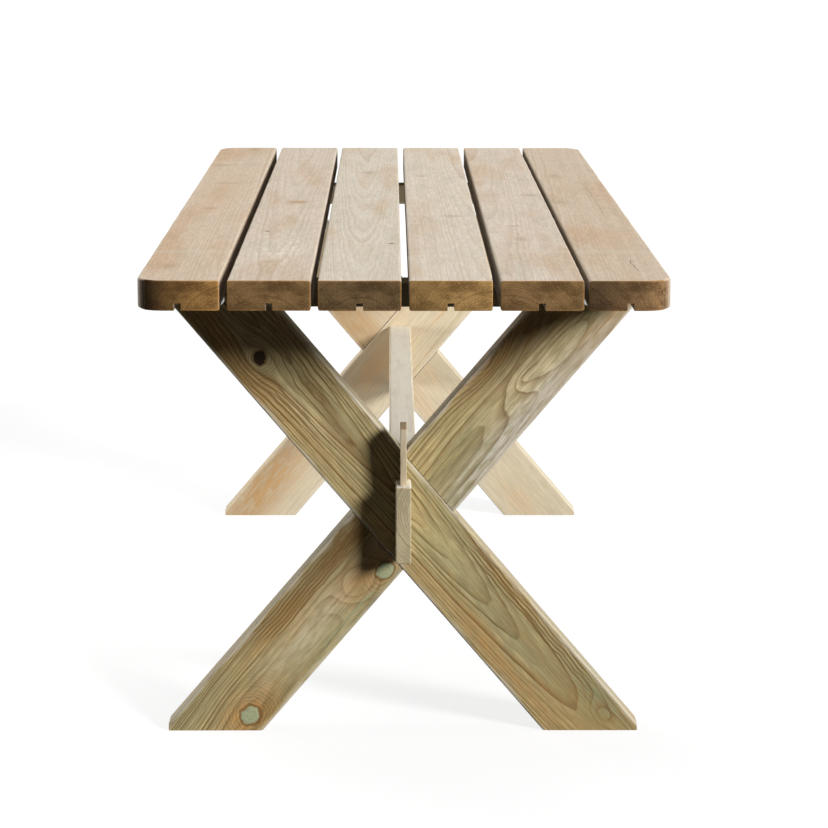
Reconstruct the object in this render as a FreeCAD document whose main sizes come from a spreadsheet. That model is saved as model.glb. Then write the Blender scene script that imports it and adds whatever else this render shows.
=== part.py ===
import FreeCAD, Part
import os
import Sketcher

# A sawbuck garden table: six planks on two bearers, two halved X frames and a
# stretcher whose through tenons are locked by two loose wedges.
# +X runs across the top, +Y along it and +Z up. The origin is on the floor under the
# middle of the top. The end at -Y is called near and the end at +Y is called far.

SIZES = {
    # The top and the planks that everything but the bearers is cut from
    "table_height": 747,
    "top_length": 2000,
    "plank_width": 120,
    "plank_thickness": 44,
    "plank_arris": 3.5,
    "first_gap": 11,
    "second_gap": 10,
    "third_gap": 11,
    "fourth_gap": 11,
    "fifth_gap": 7,
    "corner_radius": 40,
    "groove_width": 10,
    "groove_depth": 11,
    # The X frames: spread is measured between the centre lines of a frame's two feet
    "leg_spread": 596,
    "leg_setback": 240,
    "toe_cut": 11,
    "sawn_arris": 1,
    "lap_clearance": 0.2,
    # The bearers that carry the planks: inset is from the edge of the top to their ends
    "bearer_inset": 32,
    "bearer_depth": 60,
    "bearer_height": 38,
    "bearer_arris": 2,
    # The stretcher, its tenons and the wedges
    "stretcher_drop": 8,
    "tenon_thickness": 24,
    "tenon_reach": 60,
    "tenon_arris": 1.5,
    "tenon_clearance": 0.2,
    "mortise_relief": 3,
    "wedge_thickness": 10,
    "wedge_top_width": 54,
    "wedge_tip_width": 37,
    "wedge_rise": 94,
    "wedge_tip_recess": 6,
    "wedge_crown": 5,
    "wedge_arris": 1.5,
    "wedge_clearance": 0.2,
    # Carriage bolts, washers and nuts that join each leg to its bearer
    "bolt_diameter": 8,
    "bolt_head_diameter": 20.6,
    "bolt_head_height": 4.8,
    "bolt_head_rim": 0.8,
    "bolt_neck_width": 8.5,
    "bolt_neck_length": 5.3,
    "bolt_tail": 7.2,
    "bolt_clearance": 0.2,
    "washer_diameter": 24,
    "washer_thickness": 2,
    "nut_width": 13,
    "nut_height": 6.8,
    # Countersunk screws that hold the planks from below
    "screw_diameter": 5,
    "screw_head_diameter": 10,
    "screw_bite": 32,
    "screw_point": 6,
    "screw_spacing": 30,
    "screw_clearance": 0.1,
    # Every through cut runs on past the wood by this much
    "cut_overrun": 5,
}
COUNTERSINK_DEGREES = 90
GAPS = ("first_gap", "second_gap", "third_gap", "fourth_gap", "fifth_gap")
BOARD_COUNT = len(GAPS) + 1
ENDS = {"near": -1, "far": 1}
SIDES = {"left": -1, "right": 1}

doc = FreeCAD.newDocument("sawbuck_table")
sheet = doc.addObject("Spreadsheet::Sheet", "Sizes")
for row, (alias, size) in enumerate(SIZES.items(), 1):
    sheet.set(f"A{row}", alias)
    sheet.set(f"B{row}", str(size))
    sheet.setAlias(f"B{row}", alias)
doc.recompute()

# Levels and lines that several pieces share, as expressions on the sheet
TOP_WIDTH = f"({BOARD_COUNT} * Sizes.plank_width + " + " + ".join(f"Sizes.{gap}" for gap in GAPS) + ")"
UNDERSIDE = "(Sizes.table_height - Sizes.plank_thickness)"
FRAME_OUTER = "(Sizes.top_length / 2 - Sizes.leg_setback)"
FRAME_MIDDLE = f"({FRAME_OUTER} - Sizes.plank_thickness / 2)"
FRAME_INNER = f"({FRAME_OUTER} - Sizes.plank_thickness)"
BEARER_MIDDLE = f"({FRAME_INNER} - Sizes.bearer_depth / 2)"
BEARER_INNER = f"({FRAME_INNER} - Sizes.bearer_depth)"
BEARER_LEVEL = f"({UNDERSIDE} - Sizes.bearer_height)"
LEG_LEAN = f"(Sizes.leg_spread / {UNDERSIDE})"
LEG_REACH = f"(Sizes.plank_width / 2 * sqrt(1 + {LEG_LEAN} ^ 2))"
LEG_TOE = f"(Sizes.leg_spread / 2 + {LEG_REACH} - Sizes.toe_cut * {LEG_LEAN})"
BOLT_LINE = f"(Sizes.leg_spread / 2 - Sizes.bearer_height / 2 * {LEG_LEAN})"
BOLT_LEVEL = f"({UNDERSIDE} - Sizes.bearer_height / 2)"
BOLT_LENGTH = (
    "(Sizes.plank_thickness + Sizes.bearer_depth + Sizes.washer_thickness"
    " + Sizes.nut_height + Sizes.bolt_tail)"
)
SCREW_LENGTH = "(Sizes.bearer_height + Sizes.screw_bite)"
STRETCHER_LEVEL = f"({UNDERSIDE} / 2 - Sizes.plank_width / 2 - Sizes.stretcher_drop)"
WEDGE_TOP = "(Sizes.plank_width + Sizes.wedge_rise)"
WEDGE_SLOPE = (
    f"((Sizes.wedge_top_width - Sizes.wedge_tip_width) / ({WEDGE_TOP} - Sizes.wedge_tip_recess))"
)


def value(expression):
    """The number that an expression on the sheet has now."""
    return float(sheet.evalExpression(expression))


def board_centre(index):
    """Where a board's centre line lies across the top."""
    gaps = "".join(f" + Sizes.{gap}" for gap in GAPS[:index])
    return f"({2 * index + 1} * Sizes.plank_width / 2{gaps} - {TOP_WIDTH} / 2)"


def wedge_width(level):
    """The wedge's width at a level above the stretcher's underside."""
    return f"(Sizes.wedge_tip_width + ({level} - Sizes.wedge_tip_recess) * {WEDGE_SLOPE})"


def new_body(label):
    body = doc.addObject("PartDesign::Body", label)
    body.Label = label
    return body


def place(item, across="0", along="0", up="0", turned=0):
    """Tie an object's place to the sheet, turned by some degrees about the upright."""
    item.Placement = FreeCAD.Placement(
        FreeCAD.Vector(value(across), value(along), value(up)),
        FreeCAD.Rotation(FreeCAD.Vector(0, 0, 1), turned),
    )
    for axis, expression in zip("xyz", (across, along, up)):
        item.setExpression(f"Placement.Base.{axis}", expression)


def new_sketch(body, name, plane, offset="0"):
    """A sketch on one of the body's own origin planes, moved along its normal."""
    sketch = body.newObject("Sketcher::SketchObject", name)
    support = next(item for item in body.Origin.OriginFeatures if item.Role == plane)
    sketch.AttachmentSupport = [(support, "")]
    sketch.MapMode = "FlatFace"
    sketch.setExpression("AttachmentOffset.Base.z", offset)
    return sketch


def tie_point(sketch, geometry, end, across, up):
    """Tie one end of a sketch line, or a circle's centre, to its distances from the origin."""
    for kind, expression in (("DistanceX", across), ("DistanceY", up)):
        constraint = Sketcher.Constraint(kind, -1, 1, geometry, end, value(expression))
        number = sketch.addConstraint(constraint)
        sketch.setExpression(f"Constraints[{number}]", expression)


def draw_outline(sketch, points):
    """A closed outline of straight lines through corners given as pairs of expressions."""
    first = sketch.GeometryCount
    corners = [FreeCAD.Vector(value(across), value(up), 0) for across, up in points]
    for start, end in zip(corners, corners[1:] + corners[:1]):
        sketch.addGeometry(Part.LineSegment(start, end))
    count = len(corners)
    for index, (across, up) in enumerate(points):
        following = first + (index + 1) % count
        sketch.addConstraint(Sketcher.Constraint("Coincident", first + index, 2, following, 1))
        tie_point(sketch, first + index, 1, across, up)


def draw_rectangle(sketch, low, high):
    """An upright rectangle between two corners given as pairs of expressions."""
    draw_outline(sketch, [low, (high[0], low[1]), high, (low[0], high[1])])


def draw_square(sketch, half):
    """A square centred on the sketch's origin."""
    draw_rectangle(sketch, (f"-{half}", f"-{half}"), (half, half))


def draw_circle(sketch, across, up, radius):
    centre = FreeCAD.Vector(value(across), value(up), 0)
    circle = sketch.addGeometry(Part.Circle(centre, FreeCAD.Vector(0, 0, 1), value(radius)))
    tie_point(sketch, circle, 3, across, up)
    number = sketch.addConstraint(Sketcher.Constraint("Radius", circle, value(radius)))
    sketch.setExpression(f"Constraints[{number}]", radius)


def add_feature(body, kind, name, sketch, length, side="One side", reverse=False):
    """A pad or a pocket of a sketch, with its length tied to the sheet."""
    feature = body.newObject(f"PartDesign::{kind}", name)
    feature.Profile = sketch
    feature.SideType = side
    feature.Reversed = reverse
    feature.setExpression("Length", length)
    doc.recompute()
    return feature


def revolve(body, name, sketch, axis):
    feature = body.newObject("PartDesign::Revolution", name)
    feature.Profile = sketch
    feature.ReferenceAxis = (sketch, [axis])
    doc.recompute()
    return feature


def soften(body, kind, name, chosen, size):
    """A fillet or chamfer on the edges of the body's last feature that pass a test."""
    base = body.Tip
    names = [f"Edge{number}" for number, edge in enumerate(base.Shape.Edges, 1) if chosen(edge)]
    feature = body.newObject(f"PartDesign::{kind}", name)
    feature.Base = (base, names)
    feature.setExpression("Radius" if kind == "Fillet" else "Size", size)
    doc.recompute()
    return feature


def is_level_with(edge, axis, positions):
    """True for an edge whose ends both lie at one of the positions along an axis."""
    ends = [getattr(vertex, axis) for vertex in edge.Vertexes]
    touch = Part.Precision.confusion()
    return any(all(abs(end - position) < touch for end in ends) for position in positions)


def runs_along(edge, direction):
    """True for a straight edge parallel to a direction."""
    if not isinstance(edge.Curve, Part.Line):
        return False
    return edge.Curve.Direction.cross(direction).Length < Part.Precision.angular()


def make_board(index):
    """A top plank with eased edges, a relief groove below and its screw holes."""
    body = new_body(f"top_board_{index + 1}")
    place(body, across=board_centre(index), up=UNDERSIDE)
    plan = new_sketch(body, f"board_{index + 1}_plan", "XY_Plane")
    half_width = "Sizes.plank_width / 2"
    half_length = "Sizes.top_length / 2"
    draw_rectangle(plan, (f"-{half_width}", f"-{half_length}"), (half_width, half_length))
    add_feature(body, "Pad", f"board_{index + 1}_blank", plan, "Sizes.plank_thickness")

    outer_side = {0: -1, BOARD_COUNT - 1: 1}.get(index)
    if outer_side:
        outer = outer_side * value(half_width)
        soften(
            body, "Fillet", f"board_{index + 1}_corners",
            lambda edge: is_level_with(edge, "X", (outer,)) and runs_along(edge, FreeCAD.Vector(0, 0, 1)),
            "Sizes.corner_radius",
        )
    levels = (0, value("Sizes.plank_thickness"))
    inner_sides = [side * value(half_width) for side in SIDES.values() if side != outer_side]
    soften(
        body, "Fillet", f"board_{index + 1}_arris",
        lambda edge: is_level_with(edge, "Z", levels) or is_level_with(edge, "X", inner_sides),
        "Sizes.plank_arris",
    )

    groove = new_sketch(body, f"board_{index + 1}_groove_section", "XZ_Plane")
    draw_rectangle(
        groove, ("-Sizes.groove_width / 2", "-Sizes.cut_overrun"),
        ("Sizes.groove_width / 2", "Sizes.groove_depth"),
    )
    add_feature(
        body, "Pocket", f"board_{index + 1}_groove", groove,
        "Sizes.top_length + Sizes.cut_overrun", side="Symmetric",
    )

    holes = new_sketch(body, f"board_{index + 1}_hole_plan", "XY_Plane")
    for end in ENDS.values():
        for side in SIDES.values():
            draw_circle(
                holes, f"{side} * Sizes.screw_spacing / 2", f"{end} * {BEARER_MIDDLE}",
                "Sizes.screw_diameter / 2 + Sizes.screw_clearance",
            )
    add_feature(
        body, "Pocket", f"board_{index + 1}_holes", holes,
        "Sizes.screw_bite + Sizes.screw_clearance", reverse=True,
    )
    return body


def make_leg(end_name, side_name):
    """One leg of an X frame, named by the side of the table that its top is on."""
    end = ENDS[end_name]
    side = SIDES[side_name]
    label = f"{end_name}_leg_top_{side_name}"
    body = new_body(label)
    place(body, along=f"{end} * {FRAME_MIDDLE}")

    elevation = new_sketch(body, f"{label}_elevation", "XZ_Plane")
    draw_outline(elevation, [
        (f"{-side} * (Sizes.leg_spread / 2 - {LEG_REACH})", "0"),
        (f"{-side} * {LEG_TOE}", "0"),
        (f"{-side} * {LEG_TOE}", "Sizes.toe_cut"),
        (f"{side} * (Sizes.leg_spread / 2 - {LEG_REACH})", UNDERSIDE),
        (f"{side} * {LEG_TOE}", UNDERSIDE),
        (f"{side} * {LEG_TOE}", f"{UNDERSIDE} - Sizes.toe_cut"),
    ])
    add_feature(body, "Pad", f"{label}_blank", elevation, "Sizes.plank_thickness", side="Symmetric")
    lean = FreeCAD.Vector(side * value(LEG_LEAN), 0, 1)
    lean.normalize()
    soften(body, "Fillet", f"{label}_arris", lambda edge: runs_along(edge, lean), "Sizes.plank_arris")
    sawn_levels = (0, value(UNDERSIDE))
    soften(
        body, "Fillet", f"{label}_sawn_ends",
        lambda edge: is_level_with(edge, "Z", sawn_levels), "Sizes.sawn_arris",
    )

    # The left leg keeps its outer half at the crossing, and the right leg its inner half
    lap = new_sketch(body, f"{label}_lap_outline", "XZ_Plane")
    lap_half = f"({LEG_REACH} + Sizes.lap_clearance)"
    draw_outline(lap, [
        (f"{side} * Sizes.leg_spread / 2 - {lap_half}", "0"),
        (f"{side} * Sizes.leg_spread / 2 + {lap_half}", "0"),
        (f"{-side} * Sizes.leg_spread / 2 + {lap_half}", UNDERSIDE),
        (f"{-side} * Sizes.leg_spread / 2 - {lap_half}", UNDERSIDE),
    ])
    add_feature(
        body, "Pocket", f"{label}_lap", lap, "Sizes.plank_thickness / 2 + Sizes.cut_overrun",
        reverse=end * side < 0,
    )

    mortise = new_sketch(body, f"{label}_mortise_outline", "XZ_Plane")
    mortise_half = "(Sizes.tenon_thickness / 2 + Sizes.tenon_clearance)"
    draw_rectangle(
        mortise, (f"-{mortise_half}", f"{STRETCHER_LEVEL} - Sizes.tenon_clearance"),
        (mortise_half, f"{STRETCHER_LEVEL} + Sizes.plank_width + Sizes.tenon_clearance"),
    )
    through = "Sizes.plank_thickness + Sizes.cut_overrun"
    add_feature(body, "Pocket", f"{label}_mortise", mortise, through, side="Symmetric")

    bolt_hole = new_sketch(body, f"{label}_bolt_hole_outline", "XZ_Plane")
    draw_circle(
        bolt_hole, f"{side} * {BOLT_LINE}", BOLT_LEVEL,
        "Sizes.bolt_diameter / 2 + Sizes.bolt_clearance",
    )
    add_feature(body, "Pocket", f"{label}_bolt_hole", bolt_hole, through, side="Symmetric")

    neck = new_sketch(
        body, f"{label}_neck_outline", "XZ_Plane", offset=f"{-end} * Sizes.plank_thickness / 2",
    )
    neck_half = "(Sizes.bolt_neck_width / 2 + Sizes.bolt_clearance)"
    draw_rectangle(
        neck, (f"{side} * {BOLT_LINE} - {neck_half}", f"{BOLT_LEVEL} - {neck_half}"),
        (f"{side} * {BOLT_LINE} + {neck_half}", f"{BOLT_LEVEL} + {neck_half}"),
    )
    add_feature(
        body, "Pocket", f"{label}_neck_recess", neck,
        "Sizes.bolt_neck_length + Sizes.bolt_clearance", reverse=end > 0,
    )
    return body


def make_bearer(end_name):
    """A cross bearer with its two bolt holes and a countersunk hole for every screw."""
    label = f"{end_name}_bearer"
    body = new_body(label)
    place(body, along=f"{ENDS[end_name]} * {BEARER_MIDDLE}", up=BEARER_LEVEL)
    plan = new_sketch(body, f"{label}_plan", "XY_Plane")
    half_length = f"({TOP_WIDTH} / 2 - Sizes.bearer_inset)"
    half_depth = "Sizes.bearer_depth / 2"
    draw_rectangle(plan, (f"-{half_length}", f"-{half_depth}"), (half_length, half_depth))
    add_feature(body, "Pad", f"{label}_blank", plan, "Sizes.bearer_height")
    soften(body, "Fillet", f"{label}_arris", lambda edge: True, "Sizes.bearer_arris")

    bolt_holes = new_sketch(body, f"{label}_bolt_hole_outline", "XZ_Plane")
    for side in SIDES.values():
        draw_circle(
            bolt_holes, f"{side} * {BOLT_LINE}", "Sizes.bearer_height / 2",
            "Sizes.bolt_diameter / 2 + Sizes.bolt_clearance",
        )
    add_feature(
        body, "Pocket", f"{label}_bolt_holes", bolt_holes,
        "Sizes.bearer_depth + Sizes.cut_overrun", side="Symmetric",
    )

    screw_plan = new_sketch(body, f"{label}_screw_plan", "XY_Plane")
    for across in screw_lines():
        draw_circle(screw_plan, across, "0", "Sizes.screw_diameter / 2 + Sizes.screw_clearance")
    doc.recompute()
    holes = body.newObject("PartDesign::Hole", f"{label}_screw_holes")
    holes.Profile = screw_plan
    holes.Reversed = True
    holes.DepthType = "ThroughAll"
    holes.ThreadType = "None"
    holes.HoleCutType = "Countersink"
    holes.HoleCutCustomValues = True
    holes.HoleCutCountersinkAngle = COUNTERSINK_DEGREES
    holes.setExpression("Diameter", "Sizes.screw_diameter + 2 * Sizes.screw_clearance")
    holes.setExpression("HoleCutDiameter", "Sizes.screw_head_diameter + 2 * Sizes.screw_clearance")
    doc.recompute()
    return body


def screw_lines():
    """Where the screws of one bearer lie across the table: two under each board."""
    return [
        f"{board_centre(index)} + {side} * Sizes.screw_spacing / 2"
        for index in range(BOARD_COUNT)
        for side in SIDES.values()
    ]


def make_stretcher():
    """The long rail on edge, with a shouldered tenon and a wedge mortise at each end."""
    body = new_body("stretcher")
    place(body, up=STRETCHER_LEVEL)
    plan = new_sketch(body, "stretcher_plan", "XY_Plane")
    rail_half = "Sizes.plank_thickness / 2"
    tenon_half = "Sizes.tenon_thickness / 2"
    tenon_end = f"({FRAME_OUTER} + Sizes.tenon_reach)"
    quarter = [(rail_half, FRAME_INNER), (tenon_half, FRAME_INNER), (tenon_half, tenon_end)]
    far_half = quarter + [(f"-{across}", along) for across, along in reversed(quarter)]
    near_half = [(across, f"-{along}") for across, along in reversed(far_half)]
    draw_outline(plan, far_half + near_half)
    add_feature(body, "Pad", "stretcher_blank", plan, "Sizes.plank_width")

    lengthwise = FreeCAD.Vector(0, 1, 0)
    rail_sides = [side * value(rail_half) for side in SIDES.values()]
    tenon_ends = [end * value(tenon_end) for end in ENDS.values()]
    soften(
        body, "Fillet", "stretcher_arris",
        lambda edge: is_level_with(edge, "X", rail_sides) and runs_along(edge, lengthwise),
        "Sizes.plank_arris",
    )
    soften(
        body, "Chamfer", "tenon_arris",
        lambda edge: is_level_with(edge, "Y", tenon_ends),
        "Sizes.tenon_arris",
    )

    mortises = new_sketch(body, "wedge_mortise_outline", "YZ_Plane")
    bottom = "-Sizes.cut_overrun"
    top = "Sizes.plank_width + Sizes.cut_overrun"
    for end in ENDS.values():
        inner_wall = f"{end} * ({FRAME_OUTER} - Sizes.mortise_relief)"
        draw_outline(mortises, [
            (inner_wall, bottom),
            (f"{end} * ({FRAME_OUTER} + {wedge_width(bottom)} + 2 * Sizes.wedge_clearance)", bottom),
            (f"{end} * ({FRAME_OUTER} + {wedge_width(f'({top})')} + 2 * Sizes.wedge_clearance)", top),
            (inner_wall, top),
        ])
    add_feature(
        body, "Pocket", "wedge_mortises", mortises,
        "Sizes.wedge_thickness + 2 * Sizes.wedge_clearance", side="Symmetric",
    )
    return body


def make_wedge(end_name):
    """A loose tapered wedge, drawn with its straight edge against the frame's outer face."""
    end = ENDS[end_name]
    label = f"{end_name}_wedge"
    body = new_body(label)
    place(
        body, along=f"{end} * ({FRAME_OUTER} + Sizes.wedge_clearance)", up=STRETCHER_LEVEL,
        turned=0 if end > 0 else 180,
    )
    profile = new_sketch(body, f"{label}_profile", "YZ_Plane")
    crown_level = f"({WEDGE_TOP} - Sizes.wedge_crown)"
    draw_outline(profile, [
        ("0", "Sizes.wedge_tip_recess"),
        ("Sizes.wedge_tip_width", "Sizes.wedge_tip_recess"),
        (wedge_width(crown_level), crown_level),
        (f"{wedge_width(crown_level)} - Sizes.wedge_crown", WEDGE_TOP),
        ("Sizes.wedge_crown", WEDGE_TOP),
        ("0", crown_level),
    ])
    add_feature(body, "Pad", f"{label}_blank", profile, "Sizes.wedge_thickness", side="Symmetric")
    cheeks = [side * value("Sizes.wedge_thickness / 2") for side in SIDES.values()]
    soften(
        body, "Chamfer", f"{label}_arris",
        lambda edge: is_level_with(edge, "X", cheeks), "Sizes.wedge_arris",
    )
    return body


def make_bolt():
    """A domed bolt with a square neck, its head bearing at the origin and its shank along +Y."""
    body = new_body("leg_bolt")
    section = new_sketch(body, "bolt_section", "XY_Plane")
    head_radius = "Sizes.bolt_head_diameter / 2"
    shank = "Sizes.bolt_diameter / 2"
    crown = "-Sizes.bolt_head_height"
    rim = "-Sizes.bolt_head_rim"
    corners = [
        ("0", crown), (head_radius, rim), (head_radius, "0"),
        (shank, "0"), (shank, BOLT_LENGTH), ("0", BOLT_LENGTH),
    ]
    points = [FreeCAD.Vector(value(across), value(along), 0) for across, along in corners]
    rise = points[1].y - points[0].y
    dome_radius = (points[1].x ** 2 + rise ** 2) / (2 * rise)
    dome_centre = FreeCAD.Vector(0, points[0].y + dome_radius, 0)
    toward_crown = FreeCAD.Vector(0, -1, 0)
    toward_rim = (points[1] - dome_centre).normalize()
    midway = dome_centre + (toward_crown + toward_rim).normalize() * dome_radius
    sketch_arc = Part.Arc(points[0], midway, points[1])
    sketch_lines = [Part.LineSegment(*pair) for pair in zip(points[1:], points[2:] + points[:1])]
    dome = section.addGeometry(sketch_arc)
    first_line = section.addGeometry(sketch_lines)[0]
    crown_line = section.GeometryCount - 1
    for line in range(first_line, crown_line):
        section.addConstraint(Sketcher.Constraint("Coincident", line, 2, line + 1, 1))
    section.addConstraint(Sketcher.Constraint("Coincident", dome, 1, crown_line, 2))
    section.addConstraint(Sketcher.Constraint("Coincident", dome, 2, first_line, 1))
    section.addConstraint(Sketcher.Constraint("PointOnObject", dome, 3, -2))
    tie_point(section, dome, 1, *corners[0])
    for line, corner in enumerate(corners[1:], first_line):
        tie_point(section, line, 1, *corner)
    revolve(body, "bolt_turned", section, "V_Axis")

    neck = new_sketch(body, "bolt_neck_section", "XZ_Plane")
    draw_square(neck, "Sizes.bolt_neck_width / 2")
    add_feature(body, "Pad", "bolt_neck", neck, "Sizes.bolt_neck_length", reverse=True)
    return body


def make_washer():
    """A flat washer that lies on the origin's XZ plane and is as thick as it reaches along +Y."""
    body = new_body("bolt_washer")
    ring = new_sketch(body, "washer_ring", "XZ_Plane")
    draw_circle(ring, "0", "0", "Sizes.washer_diameter / 2")
    draw_circle(ring, "0", "0", "Sizes.bolt_diameter / 2 + Sizes.bolt_clearance")
    add_feature(body, "Pad", "washer_blank", ring, "Sizes.washer_thickness", reverse=True)
    return body


def make_nut():
    """A hexagon nut on the same axis as the washer."""
    body = new_body("bolt_nut")
    hexagon = new_sketch(body, "nut_hexagon", "XZ_Plane")
    flat = "Sizes.nut_width / 2"
    corner = f"({flat} * 2 / sqrt(3))"
    draw_outline(hexagon, [
        (flat, f"-{corner} / 2"), (flat, f"{corner} / 2"), ("0", corner),
        (f"-{flat}", f"{corner} / 2"), (f"-{flat}", f"-{corner} / 2"), ("0", f"-{corner}"),
    ])
    draw_circle(hexagon, "0", "0", "Sizes.bolt_diameter / 2 + Sizes.bolt_clearance")
    add_feature(body, "Pad", "nut_blank", hexagon, "Sizes.nut_height", reverse=True)
    return body


def make_screw():
    """A countersunk screw, its head level with the origin and its point upwards."""
    body = new_body("board_screw")
    section = new_sketch(body, "screw_section", "XZ_Plane")
    head = "Sizes.screw_head_diameter / 2"
    shank = "Sizes.screw_diameter / 2"
    draw_outline(section, [
        ("0", "0"), (head, "0"), (shank, f"{head} - {shank}"),
        (shank, f"{SCREW_LENGTH} - Sizes.screw_point"), ("0", SCREW_LENGTH),
    ])
    revolve(body, "screw_turned", section, "V_Axis")
    return body


def make_group(label, pattern, places):
    """Several copies of one small piece as a group of separate solids."""
    group = doc.addObject("Part::Compound", label)
    group.Label = label
    copies = []
    for number, where in enumerate(places, 1):
        copy = doc.addObject("App::Link", f"{label}_{number}")
        copy.LinkedObject = pattern
        copy.LinkTransform = True
        place(copy, **where)
        copies.append(copy)
    group.Links = copies
    return group


def make_fasteners(end_name, bolt, washer, nut, screw):
    """The bolts, washers, nuts and screws of one end of the table."""
    end = ENDS[end_name]
    turned = 0 if end < 0 else 180

    def bolt_places(along):
        shared = {"along": f"{end} * {along}", "up": BOLT_LEVEL, "turned": turned}
        return [{"across": f"{side} * {BOLT_LINE}", **shared} for side in SIDES.values()]

    screw_places = [
        {"across": across, "along": f"{end} * {BEARER_MIDDLE}", "up": BEARER_LEVEL}
        for across in screw_lines()
    ]
    nut_seat = f"({BEARER_INNER} - Sizes.washer_thickness)"
    return [
        make_group(f"{end_name}_leg_bolts", bolt, bolt_places(FRAME_OUTER)),
        make_group(f"{end_name}_bolt_washers", washer, bolt_places(BEARER_INNER)),
        make_group(f"{end_name}_bolt_nuts", nut, bolt_places(nut_seat)),
        make_group(f"{end_name}_board_screws", screw, screw_places),
    ]


def check(pieces):
    """Stop before anything is written if a feature failed, cut nothing or made a bad solid."""
    for item in doc.Objects:
        if {"Invalid", "Error"} & set(item.State):
            raise RuntimeError(f"{item.Name} failed: {item.State}")
        if item.TypeId in ("PartDesign::Pocket", "PartDesign::Hole"):
            if item.Shape.Volume >= item.BaseFeature.Shape.Volume:
                raise RuntimeError(f"{item.Name} cuts nothing")
    for piece in pieces:
        if piece.Shape.isNull() or not piece.Shape.isValid():
            raise RuntimeError(f"{piece.Label} has no valid shape")


def main():
    pieces = [make_board(index) for index in range(BOARD_COUNT)]
    pieces += [make_bearer(end_name) for end_name in ENDS]
    pieces += [make_leg(end_name, side_name) for end_name in ENDS for side_name in SIDES]
    pieces.append(make_stretcher())
    pieces += [make_wedge(end_name) for end_name in ENDS]
    patterns = (make_bolt(), make_washer(), make_nut(), make_screw())
    for end_name in ENDS:
        pieces += make_fasteners(end_name, *patterns)
    doc.recompute()
    check(pieces)
    os.makedirs("parts", exist_ok=True)
    for piece in pieces:
        piece.Shape.exportStep(f"parts/{piece.Label}.step")


main()
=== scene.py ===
import math
from typing import Callable, NamedTuple

import bmesh
import bpy
from mathutils import Euler, Matrix, Vector


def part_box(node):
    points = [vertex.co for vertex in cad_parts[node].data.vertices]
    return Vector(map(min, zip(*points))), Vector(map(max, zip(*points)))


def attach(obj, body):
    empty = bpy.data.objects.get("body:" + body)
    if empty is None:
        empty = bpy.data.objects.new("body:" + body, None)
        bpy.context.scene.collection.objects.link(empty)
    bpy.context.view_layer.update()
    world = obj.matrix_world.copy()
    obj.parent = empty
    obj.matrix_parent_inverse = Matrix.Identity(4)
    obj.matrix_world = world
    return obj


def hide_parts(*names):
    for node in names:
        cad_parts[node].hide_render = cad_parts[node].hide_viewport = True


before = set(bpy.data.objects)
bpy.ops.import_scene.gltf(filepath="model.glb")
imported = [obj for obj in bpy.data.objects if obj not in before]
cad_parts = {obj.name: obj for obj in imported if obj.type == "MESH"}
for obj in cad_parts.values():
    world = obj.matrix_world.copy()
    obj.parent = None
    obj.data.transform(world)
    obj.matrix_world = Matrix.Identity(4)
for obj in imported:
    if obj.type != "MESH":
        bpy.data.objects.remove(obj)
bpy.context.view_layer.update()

bl_info = {
    "name": "Sawbuck Garden Table",
    "version": (1, 0, 0),
    "blender": (4, 5, 0),
    "location": "View3D > Sidebar > Table",
    "description": "Dresses the frame of a plank-topped sawbuck table in treated pine and zinc fixings",
    "category": "Object",
}

BOARDS = [f"top_board_{number}" for number in range(1, 7)]
ENDS = {"near": -1, "far": 1}
FLOOR_LEVEL = 0.0


def shade(red, green, blue):
    """A colour matched on the 0 to 255 scale, as the linear values that shaders take."""
    return tuple(((part / 255 + 0.055) / 1.055) ** 2.4 for part in (red, green, blue))


def length_property(name, description, default):
    return bpy.props.FloatProperty(
        name=name, description=description, default=default, min=0.0, precision=4,
        unit="LENGTH", subtype="DISTANCE",
    )


def share_property(name, description, default):
    return bpy.props.FloatProperty(
        name=name, description=description, default=default, min=0.0, max=1.0, subtype="FACTOR"
    )


def strength_property(name, description, default, unit="NONE"):
    return bpy.props.FloatProperty(name=name, description=description, default=default, min=0.0, unit=unit)


def colour_property(name, description, default):
    return bpy.props.FloatVectorProperty(
        name=name, description=description, default=default, size=3, min=0.0, max=1.0, subtype="COLOR"
    )


class TimberSizes(bpy.types.PropertyGroup):
    """Sizes of the planks and of the joints cut in them."""

    plank_width: length_property("Plank width", "Width of the planks in the top, legs and stretcher", 0.120)
    plank_arris: length_property("Plank arris", "Radius of the eased long edges of a plank", 0.0035)
    sawn_arris: length_property("Sawn arris", "Ease of the edges round a sawn end", 0.001)
    bearer_arris: length_property("Bearer arris", "Ease of all edges of a bearer", 0.002)
    arris_wear: share_property("Arris wear", "How unevenly the long edges are worn", 0.35)
    hollow: length_property("Hollow", "How far the planed faces dip along a plank", 0.0003)
    station: length_property("Station", "Spacing of the mesh along a plank", 0.016)
    cell: length_property("Cell", "Spacing of the mesh across and through a plank", 0.012)
    corner_radius: length_property("Corner radius", "Rounding of the outer corners of the top", 0.040)
    groove_width: length_property("Groove width", "Width of the relief groove under each board", 0.010)
    groove_depth: length_property("Groove depth", "Depth of the relief groove under each board", 0.011)
    leg_spread: length_property("Leg spread", "Between the centre lines of the two feet of an X", 0.596)
    tenon_thickness: length_property("Tenon thickness", "Thickness of the stretcher's tenons", 0.024)
    tenon_arris: length_property("Tenon arris", "Ease of the tenon's edges", 0.0025)
    wedge_tip_width: length_property("Wedge tip width", "Width of a wedge at its lower end", 0.037)
    wedge_crown: length_property("Wedge crown", "Rise of the hammered top of a wedge", 0.005)
    wedge_arris: length_property("Wedge arris", "Ease of all edges of a wedge", 0.0015)
    clearance: length_property("Clearance", "Gap left round each joint", 0.0002)


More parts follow.
